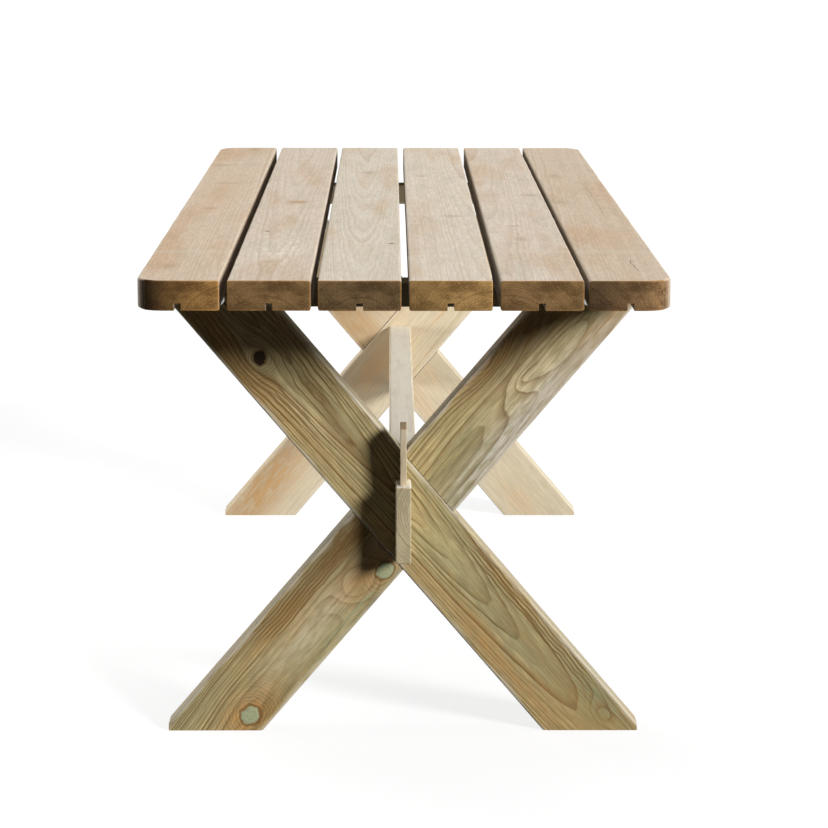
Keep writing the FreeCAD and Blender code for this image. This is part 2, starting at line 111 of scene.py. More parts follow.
class PineFinish(bpy.types.PropertyGroup):
    """Colours of the treated pine, with painted shade for the gaps between the top boards and for the
    bearers, and a painted highlight for the stretcher.
    """

    top_early: colour_property("Top spring wood", "Pale growth on the table top", shade(217, 203, 186))
    top_late: colour_property("Top summer wood", "Darker growth lines on the table top", shade(190, 166, 140))
    leg_early: colour_property("Leg spring wood", "Pale growth on the near legs", shade(186, 170, 124))
    leg_late: colour_property("Leg summer wood", "Dark growth lines on the near legs", shade(136, 104, 58))
    far_early: colour_property("Far leg spring wood", "Pale growth on the far legs", shade(186, 174, 150))
    far_late: colour_property("Far leg summer wood", "Growth lines on the far legs", shade(170, 146, 112))
    rail_early: colour_property("Stretcher spring wood", "Pale growth on the stretcher", shade(206, 193, 164))
    rail_late: colour_property("Stretcher summer wood", "Growth lines on the stretcher", shade(166, 142, 104))
    wedge_early: colour_property("Wedge spring wood", "Pale growth on the wedges", shade(204, 188, 158))
    wedge_late: colour_property("Wedge summer wood", "Growth lines on the wedges", shade(170, 146, 110))
    # Painted shade: the bearers' colours are darkened to stand in for the shade they sit in under the top.
    bearer_early: colour_property("Bearer spring wood", "Pale growth on the bearers", shade(98, 79, 34))
    bearer_late: colour_property("Bearer summer wood", "Growth lines on the bearers", shade(66, 48, 17))
    sawn: colour_property("Sawn end", "Sawn ends of the planks", shade(128, 102, 66))
    sawn_dark: colour_property("Sawn end rings", "Growth rings and pores in the sawn ends", shade(66, 48, 26))
    warm: colour_property("Resin stain", "Orange brown wood round knots and streaks", shade(186, 137, 76))
    green: colour_property("Salt stain", "Greenish cast that the treatment leaves", shade(142, 144, 106))
    knot: colour_property("Live knot", "Tan knots", shade(188, 150, 104))
    pale: colour_property("Pale wood", "Pale patches in the near legs", shade(216, 197, 156))
    streak: colour_property("Brown streak", "Dark brown bands in the legs", shade(112, 84, 46))
    smudge: colour_property("Smudge", "Faint grey knots and marks", shade(160, 138, 114))
    dead_knot: colour_property("Dead knot", "Nearly black knots", shade(40, 26, 12))
    pale_knot: colour_property("Pale knot", "Knots that took up the treatment", shade(162, 165, 129))
    worn: colour_property("Worn arris", "Bared wood on rubbed edges", shade(206, 198, 180))
    # Partly painted light: on the stretcher's top and bottom faces this colour is a painted highlight; on the
    # second board it is a pale patch in the wood.
    bleached: colour_property("Bleached wood", "Sun-bleached stretcher and top", shade(246, 240, 226))
    # Painted shade: this colour darkens the sides of the top boards down in the gaps between them.
    grime: colour_property("Grime", "Dirt on the sides of the boards in the gaps", shade(92, 70, 40))


class FixingSizes(bpy.types.PropertyGroup):
    """Sizes and colours of the bolts, washers, nuts and screws."""

    bolt_diameter: length_property("Bolt diameter", "Shank of a carriage bolt", 0.008)
    bolt_head: length_property("Bolt head", "Diameter of the domed head", 0.0206)
    head_height: length_property("Head height", "Height of the domed head", 0.0048)
    thread_length: length_property("Thread length", "Length of the bolt thread", 0.030)
    thread_pitch: length_property("Thread pitch", "Rise of the bolt thread in one turn", 0.00125)
    washer_diameter: length_property("Washer diameter", "Outside of a washer", 0.024)
    washer_bore: length_property("Washer bore", "Hole of a washer", 0.0084)
    nut_width: length_property("Nut width", "Across the flats of a nut", 0.013)
    screw_head: length_property("Screw head", "Diameter of a countersunk head", 0.010)
    screw_diameter: length_property("Screw diameter", "Shank of a screw", 0.005)
    screw_spacing: length_property("Screw spacing", "Between the two screws in one board", 0.030)
    zinc: colour_property("Zinc", "Dull zinc coat", shade(214, 216, 214))
    zinc_bloom: colour_property("Zinc bloom", "Chalky patches on the zinc", shade(222, 222, 216))
    rust: colour_property("Rust", "Rust where the zinc is scuffed", shade(120, 76, 42))


class StageSettings(bpy.types.PropertyGroup):
    """Camera, floor and light."""

    eye: bpy.props.FloatVectorProperty(
        name="Eye", description="Place of the camera", default=(-0.0198, -4.817, 1.299),
        unit="LENGTH", subtype="XYZ",
    )
    aim: bpy.props.FloatVectorProperty(
        name="Aim", description="Tilt, roll and turn of the camera", subtype="EULER",
        default=(math.radians(78.94), math.radians(0.11), math.radians(-0.51)),
    )
    focal_length: bpy.props.FloatProperty(
        name="Focal length", description="Lens of the camera", default=117.2, min=10.0, unit="CAMERA"
    )
    floor_size: length_property("Floor size", "Side of the floor", 160.0)
    floor: colour_property("Floor", "Colour of the floor", (0.24, 0.24, 0.24))
    floor_bounce: share_property("Floor bounce", "How much light the floor throws back at the table", 0.05)
    floor_glow: share_property("Floor glow", "Light added to the floor as seen, to make it white", 0.81)
    key_from: bpy.props.FloatVectorProperty(
        name="Key from", description="Where the main light comes from", default=(1.10, -1.0, 0.58),
        subtype="DIRECTION",
    )
    key_strength: strength_property("Key strength", "Strength of the main light", 4.3)
    sky_strength: strength_property("Overhead strength", "Strength of the light from above", 1.4)
    left_power: strength_property("Left power", "Power of the lamp at the left side", 13.0, "POWER")
    right_power: strength_property("Right power", "Power of the lamp at the right side", 7.5, "POWER")
    back_strength: strength_property("Back strength", "Strength of the light from behind", 1.2)
    room: strength_property("Room light", "Strength of the light from all round", 0.035)


SETTINGS = {
    "sawbuck_timber": TimberSizes,
    "sawbuck_pine": PineFinish,
    "sawbuck_fixings": FixingSizes,
    "sawbuck_stage": StageSettings,
}


class Mark(NamedTuple):
    """A knot or another mark in a plank, in metres across and along it from its middle.

    The kind is a colour of the finish, or "calm" for a place where the rings hardly show. The mark is
    drawn out along the grain by stretch. Rings swell into loops round it and are pushed aside by it, and
    the stain shows as far as the halo, in radii. Some dark patches on the near right leg are painted shade
    and shadow, not stains."""

    across: float
    along: float
    radius: float
    kind: str = "knot"
    stretch: float = 1.25
    swell: float = 0.0
    halo: float = 2.2
    stain: float = 0.5
    push: float = 0.6


def smudge(across, along, radius, stretch, push=0.2):
    """A faint grey knot."""
    return Mark(across, along, radius, "smudge", stretch, 0.0, 1.0, 0.6, push)


def stain_and_shade_patch(kind, across, along, radius, stretch, stain, halo=1.0):
    """A soft patch of one colour of the finish. Most are stains in the wood; a few on the near right leg are
    painted shade and shadow.
    """
    return Mark(across, along, radius, kind, stretch, 0.0, halo, stain, 0.0)


def figure(across, along, radius, stretch, swell, halo, stain):
    """Closed loops of rings in warm wood, without a knot."""
    return Mark(across, along, radius, "warm", stretch, swell, halo, stain, 0.0)


def calm(across, along, radius, stretch, halo=1.0):
    """A place where the rings hardly show."""
    return Mark(across, along, radius, "calm", stretch, 0.0, halo, 0.0, 0.0)


class Check(NamedTuple):
    """A drying crack or a thin line along the grain of a plank, in metres from its middle."""

    across: float
    start: float
    stop: float
    width: float
    tone: str = "sawn_dark"


def dark_rows(count, across, start, stop, width):
    """Brown lines side by side. Each pair holds the first line's value and the step to the next line."""
    return tuple(
        Check(*(first + step * row for first, step in (across, start, stop)), width, "streak")
        for row in range(count)
    )


class Grain(NamedTuple):
    """How one plank was cut from its log: place and run of the pith, ring width, marks and cracks.

    The tints multiply the colours of its faces and of its sawn ends. The last pair paints light and shade
    across the sawn ends: how much darker or lighter they are made at the plank's two long edges."""

    seed: int
    pith: tuple
    run: tuple = (0.0, 0.01)
    ring: float = 0.0036
    wander: float = 0.012
    marks: tuple = ()
    checks: tuple = ()
    tint: tuple = (1.0, 1.0, 1.0)
    sawn_tint: tuple = (1.0, 1.0, 1.0)
    sawn_sides: tuple = (1.0, 1.0)


GRAIN = {
    # Boards 1, 4 and 6 have painted light and shade on their sawn ends: darker at the left long edge, lighter
    # at the right.
    "top_board_1": Grain(
        11, pith=(0.085, -0.050), run=(0.010, 0.010), ring=0.0040, wander=0.006,
        tint=(0.94, 0.88, 0.82), sawn_tint=(1.00, 0.88, 0.70), sawn_sides=(0.22, 1.60),
        marks=(
            smudge(-0.023, -0.850, 0.016, 1.4, 0.3),
            smudge(-0.005, 0.292, 0.020, 0.6),
            smudge(-0.009, -0.114, 0.011, 0.9),
            smudge(-0.035, 0.629, 0.018, 0.7),
            smudge(0.012, 0.960, 0.016, 1.0),
            stain_and_shade_patch("warm", -0.010, 0.120, 0.030, 5.0, 0.30),
        ),
    ),
    "top_board_2": Grain(
        12, pith=(-0.004, -0.060), run=(0.002, 0.009), ring=0.0036, wander=0.005,
        tint=(0.96, 0.95, 0.945), sawn_tint=(1.00, 0.95, 0.93),
        marks=(
            Mark(0.009, -0.021, 0.013, "knot", 0.9, halo=1.5, stain=0.55, push=0.4),
            Mark(-0.027, -0.435, 0.0035, "dead_knot", 1.0, halo=2.0, stain=0.2, push=0.4),
            smudge(-0.005, -0.800, 0.012, 1.0),
            stain_and_shade_patch("bleached", 0.000, -0.640, 0.040, 4.0, 0.40),
        ),
    ),
    "top_board_3": Grain(
        13, pith=(-0.002, -0.045), run=(-0.003, 0.014), ring=0.0030, wander=0.005,
        tint=(1.0, 1.04, 1.06), sawn_tint=(0.72, 0.72, 0.78),
        marks=(
            smudge(0.002, 0.486, 0.012, 1.2, 0.3),
            Mark(0.046, -0.590, 0.0035, "dead_knot", 1.0, halo=2.0, stain=0.1, push=0.4),
        ),
    ),
    "top_board_4": Grain(
        14, pith=(0.060, -0.055), run=(0.003, 0.010), ring=0.0038, wander=0.006,
        tint=(1.02, 1.04, 1.05), sawn_tint=(1.75, 1.70, 1.50), sawn_sides=(0.75, 1.15),
        marks=(
            smudge(0.017, -0.228, 0.016, 0.7),
            smudge(-0.027, 0.422, 0.010, 0.9),
            figure(-0.008, -0.782, 0.014, 1.2, 0.006, 1.2, 0.15),
            stain_and_shade_patch("warm", -0.056, -0.900, 0.016, 3.0, 0.45),
        ),
    ),
    "top_board_5": Grain(
        15, pith=(-0.050, -0.060), run=(-0.004, 0.012), ring=0.0038, wander=0.006,
        tint=(1.0, 1.0, 1.01), sawn_tint=(1.15, 1.10, 1.08),
        marks=(
            smudge(-0.009, -0.534, 0.010, 1.6, 0.5),
            smudge(0.035, 0.093, 0.015, 0.9, 0.3),
            smudge(-0.013, -0.366, 0.011, 0.7, 0.3),
            figure(0.027, -0.836, 0.010, 1.5, 0.005, 1.4, 0.2),
        ),
    ),
    "top_board_6": Grain(
        16, pith=(-0.085, -0.050), run=(0.008, 0.010), ring=0.0042, wander=0.008,
        tint=(0.92, 0.87, 0.81), sawn_tint=(0.95, 0.90, 1.00), sawn_sides=(0.50, 1.45),
        marks=(
            Mark(-0.026, 0.424, 0.012, "smudge", 2.2, 0.003, 1.0, 0.6, 0.4),
            smudge(-0.044, -0.018, 0.010, 1.6, 0.4),
            stain_and_shade_patch("warm", 0.006, -0.560, 0.026, 4.0, 0.25),
        ),
        checks=(
            Check(0.017, -0.905, -0.760, 0.0014),
            Check(0.022, -0.270, 0.310, 0.0012, "smudge"),
        ),
    ),
    "near_leg_top_left": Grain(
        21, pith=(0.011, -0.030), run=(0.004, 0.040), ring=0.0037, wander=0.010,
        marks=(
            Mark(-0.011, 0.326, 0.0098, "dead_knot", 1.0, 0.0, 3.0, 0.12, 1.1),
            figure(0.025, -0.448, 0.010, 1.3, 0.009, 1.6, 0.0),
            stain_and_shade_patch("warm", 0.060, -0.486, 0.012, 1.5, 0.80, 1.3),
            stain_and_shade_patch("warm", -0.040, -0.262, 0.012, 5.0, 0.60, 1.1),
            stain_and_shade_patch("streak", 0.019, 0.230, 0.009, 4.0, 1.00),
            stain_and_shade_patch("streak", 0.0085, 0.142, 0.010, 4.0, 1.00),
            calm(0.014, 0.185, 0.009, 7.0),
            stain_and_shade_patch("pale", -0.016, 0.206, 0.014, 3.0, 0.50),
            calm(0.012, -0.120, 0.012, 2.5),
            calm(0.016, -0.055, 0.016, 2.2),
            calm(0.012, -0.330, 0.022, 3.4),
            stain_and_shade_patch("streak", 0.013, -0.320, 0.013, 6.0, 0.45),
            stain_and_shade_patch("green", 0.030, -0.430, 0.030, 1.6, 1.10),
        ),
        checks=(
            *(
                Check(across, 0.13 + 0.8 * abs(across), 0.60, 0.0026, "streak")
                for across in (
                    -0.050, -0.042, -0.033, -0.025, -0.017, 0.004, 0.014, 0.024, 0.031, 0.041, 0.050
                )
            ),
            *dark_rows(4, (0.036, 0.0055), (-0.430, 0.004), (-0.080, 0.0), 0.0024),
        ),
    ),
    "near_leg_top_right": Grain(
        22, pith=(0.017, -0.058), run=(-0.050, 0.012), ring=0.0040, wander=0.006,
        marks=(
            Mark(0.029, -0.403, 0.0145, "pale_knot", 1.05, 0.0, 2.7, 1.00, 0.6),
            stain_and_shade_patch("green", -0.045, -0.450, 0.020, 2.0, 0.55, 1.2),
            Mark(0.039, -0.090, 0.011, "pale_knot", 1.35, 0.0, 2.2, 0.80, 0.6),
            figure(0.020, -0.126, 0.020, 1.3, 0.015, 1.3, 0.80),
            # Painted shadow: a soft dark patch below and left of the crossing, where the tenon and wedge cast
            # their shadow, with the rings calmed under it.
            stain_and_shade_patch("streak", -0.040, -0.085, 0.032, 1.3, 1.15),
            stain_and_shade_patch("sawn_dark", -0.043, -0.100, 0.022, 1.8, 0.80),
            calm(-0.043, -0.100, 0.022, 1.8),
            # Painted shade: a dark patch along the left edge, under the overhang of the top.
            stain_and_shade_patch("sawn_dark", -0.047, 0.290, 0.016, 1.6, 0.45),
            figure(0.012, 0.350, 0.016, 3.2, 0.018, 1.6, 0.10),
            figure(0.004, 0.280, 0.007, 1.7, 0.004, 1.4, 0.10),
            # Partly the wood's own dark band, partly painted shade under the overhang of the top.
            stain_and_shade_patch("streak", -0.034, 0.370, 0.022, 2.5, 1.20),
            Mark(-0.061, 0.260, 0.010, "knot", 1.6, 0.012, 2.8, 0.80, 0.9),
            stain_and_shade_patch("worn", 0.050, 0.260, 0.026, 6.0, 1.60),
            calm(0.052, 0.290, 0.018, 5.0),
            stain_and_shade_patch("pale", 0.006, 0.280, 0.026, 2.0, 1.00),
            stain_and_shade_patch("streak", -0.040, -0.205, 0.014, 6.0, 0.70),
            calm(0.020, -0.270, 0.030, 2.8, 1.1),
            stain_and_shade_patch("worn", 0.010, -0.235, 0.026, 3.0, 0.35),
            stain_and_shade_patch("streak", 0.011, 0.120, 0.006, 6.0, 0.60),
        ),
        checks=(
            Check(0.044, -0.262, -0.112, 0.0020, "pale_knot"),
            *dark_rows(7, (-0.053, 0.0052), (-0.345, 0.006), (-0.060, 0.008), 0.0026),
        ),
    ),
    "far_leg_top_left": Grain(
        23, pith=(-0.075, -0.060), run=(0.004, 0.018), ring=0.0044,
        marks=(
            stain_and_shade_patch("streak", -0.030, 0.110, 0.030, 2.0, 0.45, 1.3),
            stain_and_shade_patch("warm", -0.030, 0.110, 0.030, 2.0, 0.30, 1.3),
            stain_and_shade_patch("warm", 0.012, -0.080, 0.014, 1.2, 0.25, 1.1),
            stain_and_shade_patch("warm", -0.015, -0.405, 0.020, 1.6, 0.30, 1.2),
        ),
    ),
    "far_leg_top_right": Grain(
        24, pith=(0.078, -0.058), run=(0.006, 0.016), ring=0.0044,
        marks=(
            stain_and_shade_patch("warm", -0.020, -0.070, 0.030, 1.6, 0.50, 1.2),
            stain_and_shade_patch("streak", -0.030, -0.420, 0.034, 2.4, 0.80, 1.2),
            stain_and_shade_patch("warm", -0.030, -0.400, 0.034, 2.4, 0.50, 1.2),
        ),
        checks=(Check(0.014, 0.040, 0.470, 0.0022, "warm"),),
    ),
    "near_bearer": Grain(31, pith=(0.010, -0.050), ring=0.0032),
    "far_bearer": Grain(32, pith=(-0.012, -0.055), ring=0.0032),
    "stretcher": Grain(
        41, pith=(0.020, -0.045), run=(0.0, 0.010), ring=0.0036, wander=0.006, sawn_tint=(2.30, 3.15, 4.80),
        marks=(
            Mark(0.030, 0.210, 0.011),
            Mark(-0.022, -0.340, 0.009),
            smudge(0.060, 0.490, 0.012, 1.0),
            smudge(0.060, 0.296, 0.012, 1.0),
        ),
    ),
    "near_wedge": Grain(
        51, pith=(0.030, 0.040), run=(0.0, 0.03), ring=0.0028, wander=0.004, sawn_tint=(1.80, 2.30, 3.60)
    ),
    "far_wedge": Grain(
        52, pith=(-0.030, 0.038), run=(0.0, 0.03), ring=0.0028, wander=0.004, sawn_tint=(1.80, 2.30, 3.60)
    ),
}
KNOT_KINDS = ("knot", "dead_knot", "pale_knot")


class Look(NamedTuple):
    """How strongly growth, treatment and wear show on one sort of plank.

    The flank is the colour of its sides, in full from a set depth under its upper face: painted shade in the
    gaps of the top boards, a painted highlight on the stretcher's top and bottom faces and worn wood on the
    other planks. Grit is how rough its sawn ends look."""

    contrast: float
    line: float
    stain: float
    salt: float
    fibre: float
    mottle: float
    worn: float
    flank: str
    flank_share: float
    bearer_mark: float = 0.0
    clean_depth: float = 0.0021
    grit: float = 1.0


LOOK = {
    # The top boards' sides take the gap colour as painted shade, reaching full strength 28 mm below the upper
    # face.
    "top": Look(
        contrast=0.50, line=0.10, stain=0.30, salt=0.14, fibre=0.10, mottle=0.07, worn=0.25,
        flank="grime", flank_share=0.75, bearer_mark=0.30, clean_depth=0.028,
    ),
    "leg": Look(
        contrast=1.00, line=0.80, stain=0.40, salt=0.40, fibre=0.24, mottle=0.14, worn=0.75,
        flank="worn", flank_share=0.45,
    ),
    "far": Look(
        contrast=0.45, line=0.10, stain=0.20, salt=0.06, fibre=0.08, mottle=0.06, worn=0.40,
        flank="worn", flank_share=0.20,
    ),
    # The stretcher's top and bottom faces take the pale flank colour as a painted highlight.
    "rail": Look(
        contrast=0.60, line=0.20, stain=0.20, salt=0.18, fibre=0.12, mottle=0.08, worn=0.35,
        flank="bleached", flank_share=0.85, grit=0.3,
    ),
    "wedge": Look(
        contrast=0.45, line=0.12, stain=0.16, salt=0.14, fibre=0.12, mottle=0.08, worn=0.35,
        flank="worn", flank_share=0.10,
    ),
    "bearer": Look(
        contrast=0.60, line=0.30, stain=0.25, salt=0.25, fibre=0.16, mottle=0.10, worn=0.30,
        flank="worn", flank_share=0.20,
    ),
}


class Signal:
    """A node's output that sums can be written with: each sign adds one math node to its tree."""

    def __init__(self, weaver, socket):
        self.weaver = weaver
        self.socket = socket
        self.is_vector = socket.type in ("VECTOR", "RGBA")

    def __add__(self, other):
        return self.weaver.sum("ADD", self, other)

    def __radd__(self, other):
        return self.weaver.sum("ADD", other, self)

    def __sub__(self, other):
        return self.weaver.sum("SUBTRACT", self, other)

    def __rsub__(self, other):
        return self.weaver.sum("SUBTRACT", other, self)

    def __mul__(self, other):
        return self.weaver.sum("MULTIPLY", self, other)

    def __truediv__(self, other):
        return self.weaver.sum("DIVIDE", self, other)

    def __neg__(self):
        return self * -1.0


def is_vector(value):
    return value.is_vector if isinstance(value, Signal) else isinstance(value, (tuple, Vector))


def total(signals):
    """All the signals of a list, added up in order."""
    whole = signals[0]
    for signal in signals[1:]:
        whole = whole + signal
    return whole


class Weaver:
    """Adds nodes to one node tree and links their sockets."""

    def __init__(self, tree):
        self.tree = tree

    def fill(self, socket, value):
        if isinstance(value, Signal):
            self.tree.links.new(value.socket, socket)
        else:
            socket.default_value = value

    def node(self, kind, *values, named=None, **settings):
        """A new node with its settings made and its inputs filled in order or by name."""
        made = self.tree.nodes.new(kind)
        for key, setting in settings.items():
            setattr(made, key, setting)
        for socket, value in zip(made.inputs, values):
            self.fill(socket, value)
        for name, value in (named or {}).items():
            self.fill(made.inputs[name], value)
        return made

    def make(self, kind, *values, output=0, **more):
        """One output of a new node."""
        return Signal(self, self.node(kind, *values, **more).outputs[output])

    def signals(self, node):
        """The named outputs of a node."""
        return {socket.name: Signal(self, socket) for socket in node.outputs if socket.name}

    def sum(self, operation, first, second):
        """Two numbers or vectors taken together, or a vector made longer by a number."""
        if not is_vector(first) and not is_vector(second):
            return self.math(operation, first, second)
        if operation == "MULTIPLY" and not is_vector(second):
            named = {"Vector": first, "Scale": second}
            return self.make("ShaderNodeVectorMath", named=named, operation="SCALE")
        return self.vector(operation, first, second)

    def math(self, operation, *values):
        return self.make("ShaderNodeMath", *values, operation=operation)

    def vector(self, operation, *values):
        output = "Value" if operation in ("LENGTH", "DOT_PRODUCT") else "Vector"
        return self.make("ShaderNodeVectorMath", *values, output=output, operation=operation)

    def parts(self, vector):
        return list(self.signals(self.node("ShaderNodeSeparateXYZ", vector)).values())

    def join(self, *parts):
        return self.make("ShaderNodeCombineXYZ", *parts)

    def length(self, first, second):
        """Length of the slope over two numbers at right angles."""
        return self.vector("LENGTH", self.join(first, second))

    def ramp(self, value, low, high, bottom=0.0, top=1.0):
        """A smooth step from bottom to top as the value goes from low to high."""
        return self.make(
            "ShaderNodeMapRange", value, low, high, bottom, top, interpolation_type="SMOOTHSTEP"
        )

    def noise(self, vector, scale=1.0, detail=2.0, roughness=0.5, output="Fac"):
        named = {"Vector": vector, "Scale": scale, "Detail": detail, "Roughness": roughness}
        return self.make("ShaderNodeTexNoise", named=named, output=output)

    def noise_along(self, value, scale, detail):
        """Noise that changes with one number."""
        named = {"W": value, "Scale": scale, "Detail": detail}
        return self.make("ShaderNodeTexNoise", named=named, output="Fac", noise_dimensions="1D")

    def blend(self, factor, first, second, blend_type="MIX"):
        """Mixes two colours."""
        made = self.node("ShaderNodeMix", data_type="RGBA", blend_type=blend_type)
        for index, value in ((0, factor), (6, first), (7, second)):
            if not isinstance(value, (Signal, float)):
                value = (*value, 1.0)
            self.fill(made.inputs[index], value)
        return Signal(self, made.outputs[2])

    def shaded(self, colour, share):
        """A colour made darker or lighter."""
        return self.blend(1.0, colour, self.join(share, share, share), "MULTIPLY")


SOCKETS = {
    "value": "NodeSocketFloat",
    "count": "NodeSocketInt",
    "vector": "NodeSocketVector",
    "geometry": "NodeSocketGeometry",
    "material": "NodeSocketMaterial",
    "turn": "NodeSocketRotation",
}


def socket_label(word):
    """The label of the socket that a keyword stands for."""
    return word.replace("_", " ").title()


def new_tree(name, kind, inputs, outputs):
    """A node group with named sockets: the weaver for it, its inputs by name and its output node."""
    tree = bpy.data.node_groups.new(name, kind)
    for side, sockets in (("INPUT", inputs), ("OUTPUT", outputs)):
        for label, sort in sockets.items():
            tree.interface.new_socket(label, in_out=side, socket_type=SOCKETS[sort])
    weaver = Weaver(tree)
    given = weaver.signals(weaver.node("NodeGroupInput"))
    return weaver, given, weaver.node("NodeGroupOutput")


class Group(NamedTuple):
    """A shader group that materials share: how it is woven and the names of its sockets."""

    name: str
    weave: Callable
    outputs: tuple
    numbers: tuple = ()
    vectors: tuple = ("Place",)


def use_group(weaver, group, **values):
    """Places a shader group in a material and gives its outputs; the first use weaves the group."""
    tree = bpy.data.node_groups.get(group.name)
    if tree is None:
        inputs = {**dict.fromkeys(group.vectors, "vector"), **dict.fromkeys(group.numbers, "value")}
        outputs = dict.fromkeys(group.outputs, "value")
        inside, given, out = new_tree(group.name, "ShaderNodeTree", inputs, outputs)
        for label, signal in group.weave(inside, given).items():
            inside.fill(out.inputs[label], signal)
        tree = inside.tree
    made = weaver.node("ShaderNodeGroup", node_tree=tree)
    for word, value in values.items():
        weaver.fill(made.inputs[socket_label(word)], value)
    return weaver.signals(made)


# Scale of each noise pattern across, along and through, in cells per metre.
DRIFT_SCALE = (5.0, 2.4, 5.0)
ROUGH_SCALE = (70.0, 9.0, 70.0)
FIBRE_SCALE = (520.0, 16.0, 520.0)
MOTTLE_SCALE = (150.0, 40.0, 150.0)
TONE_SCALE = (14.0, 2.2, 14.0)
CAST_SCALE = (22.0, 5.0, 22.0)
SPECK_SCALE = (420.0, 60.0, 420.0)
BLOTCH_SCALE = (26.0, 3.0, 40.0)
BROKEN_SCALE = (90.0, 14.0, 90.0)
RAGGED_SCALE = (12.0, 40.0, 12.0)
WEAR_SCALE = (60.0, 14.0, 60.0)
DISH_SCALE = (9.0, 3.0, 9.0)
SCUFF_SCALE = (900.0, 90.0, 900.0)


def weave_grain(weaver, given):
    """Growth rings round a pith that runs beside or through the plank."""
    place, seed = given["Place"], given["Seed"]
    moved = place + weaver.join(seed * 3.17, seed * 1.31, seed * 7.73)
    slow = weaver.noise(moved * DRIFT_SCALE, detail=1.5, output="Color")
    side_drift, deep_drift, _ = weaver.parts((slow - (0.5, 0.5, 0.5)) * given["Wander"])
    across, along, through = weaver.parts(place)
    side = across - given["Pith Across"] + side_drift - given["Run Across"] * along
    deep = through - given["Pith Depth"] + deep_drift - given["Run Depth"] * along
    rough = (weaver.noise(moved * ROUGH_SCALE) - 0.5) * 0.0016
    reach = weaver.length(side, deep) + given["Swell"] + rough
    years = reach / given["Ring Width"]
    years = years + weaver.noise_along(years, 0.42, 0.0) * 1.6
    part = weaver.math("FRACT", years)
    named = {"W": weaver.math("FLOOR", years)}
    heavy = weaver.make("ShaderNodeTexWhiteNoise", named=named, output="Value", noise_dimensions="1D")
    rise = weaver.math("POWER", weaver.ramp(part, 0.10, 0.92), 1.4)
    late = rise * weaver.ramp(part, 1.0, 0.93)
    line = weaver.ramp(part, 0.74, 0.93) * weaver.ramp(part, 1.0, 0.96)
    return {
        "Late": late * weaver.ramp(heavy, 0.0, 1.0, 0.40, 1.0),
        "Line": line * weaver.ramp(heavy, 0.0, 1.0, 0.25, 1.0),
        "Fibre": weaver.noise(moved * FIBRE_SCALE, detail=3.0, roughness=0.6),
        "Mottle": weaver.noise(moved * MOTTLE_SCALE, detail=3.0, roughness=0.6),
        "Tone": weaver.noise(moved * TONE_SCALE),
        "Cast": weaver.noise(moved * CAST_SCALE, detail=2.5),
    }


PINE_GRAIN = Group(
    "pine grain", weave_grain, ("Late", "Line", "Fibre", "Mottle", "Tone", "Cast"),
    ("Pith Across", "Pith Depth", "Run Across", "Run Depth", "Ring Width", "Wander", "Swell", "Seed"),
)


def weave_knot(weaver, given):
    """A knot through the plank, with the rings that swell round it and the stained wood beside it."""
    place, radius = given["Place"], given["Radius"]
    across, along, _ = weaver.parts(place)
    side = across - given["Across"]
    up = (along - given["Along"]) / given["Stretch"]
    uneven = weaver.noise(place, scale=75.0, detail=2.5)
    distance = weaver.length(side, up)
    share = distance / radius + (uneven - 0.5) * 0.9
    speck = weaver.noise(place, scale=420.0)
    rings = weaver.ramp(weaver.math("SINE", share * 17.0), -0.2, 1.0)
    wide = side / (radius * given["Halo"])
    tall = up / (radius * (given["Halo"] * 1.5))
    halo = weaver.math("EXPONENT", -(weaver.math("POWER", wide, 2.0) + weaver.math("POWER", tall, 2.0)))
    collar = weaver.ramp(weaver.math("SINE", (distance + uneven * 0.010) / 0.00085), 0.3, 1.0)
    return {
        "Core": weaver.ramp(share, 1.05, 0.90),
        "Rim": weaver.ramp(share, 0.62, 0.95) * weaver.ramp(share, 1.45, 1.02),
        "Rings": rings * weaver.ramp(speck, 0.42, 0.60),
        "Halo": halo,
        "Collar": collar * (halo * weaver.ramp(share, 0.9, 1.3)),
        "Swell": halo * given["Swell"],
        "Push": halo * side * given["Push"],
    }


PINE_KNOT = Group(
    "pine knot", weave_knot, ("Core", "Rim", "Rings", "Halo", "Collar", "Swell", "Push"),
    ("Across", "Along", "Radius", "Stretch", "Halo", "Swell", "Push"),
)


def weave_check(weaver, given):
    """A thin wavering crack along the grain that tapers to both ends."""
    across, along, _ = weaver.parts(given["Place"])
    bend = (weaver.noise_along(along, 14.0, 3.0) - 0.5) * 0.012
    away = weaver.math("ABSOLUTE", across - given["Across"] - bend)
    middle = (given["Start"] + given["Stop"]) * 0.5
    half = (given["Stop"] - given["Start"]) * 0.5
    taper = weaver.math("ABSOLUTE", along - middle) / half
    width = given["Width"] * weaver.ramp(taper, 1.0, 0.6)
    return {"Crack": weaver.ramp(away, width, 0.0) * weaver.ramp(taper, 1.0, 0.9)}


DRYING_CHECK = Group("drying check", weave_check, ("Crack",), ("Across", "Start", "Stop", "Width"))


def weave_sawn_end(weaver, given):
    """Where a saw has cut across the grain, and the specks and marks that it leaves there."""
    place = given["Place"]
    across, _, through = weaver.parts(place)
    facing = weaver.math("ABSOLUTE", weaver.vector("DOT_PRODUCT", given["Normal"], given["Along"]))
    return {
        "End": weaver.ramp(facing, 0.25, 0.60),
        "Speck": weaver.noise(place * SPECK_SCALE, detail=3.0, roughness=0.65),
        "Blotch": weaver.noise(place * BLOTCH_SCALE, detail=3.0, roughness=0.6),
        "Kerf": weaver.ramp(weaver.math("SINE", (across + through) * 1900.0), -1.0, 1.0),
    }


SAWN_END = Group(
    "sawn end", weave_sawn_end, ("End", "Speck", "Blotch", "Kerf"), vectors=("Place", "Normal", "Along")
)


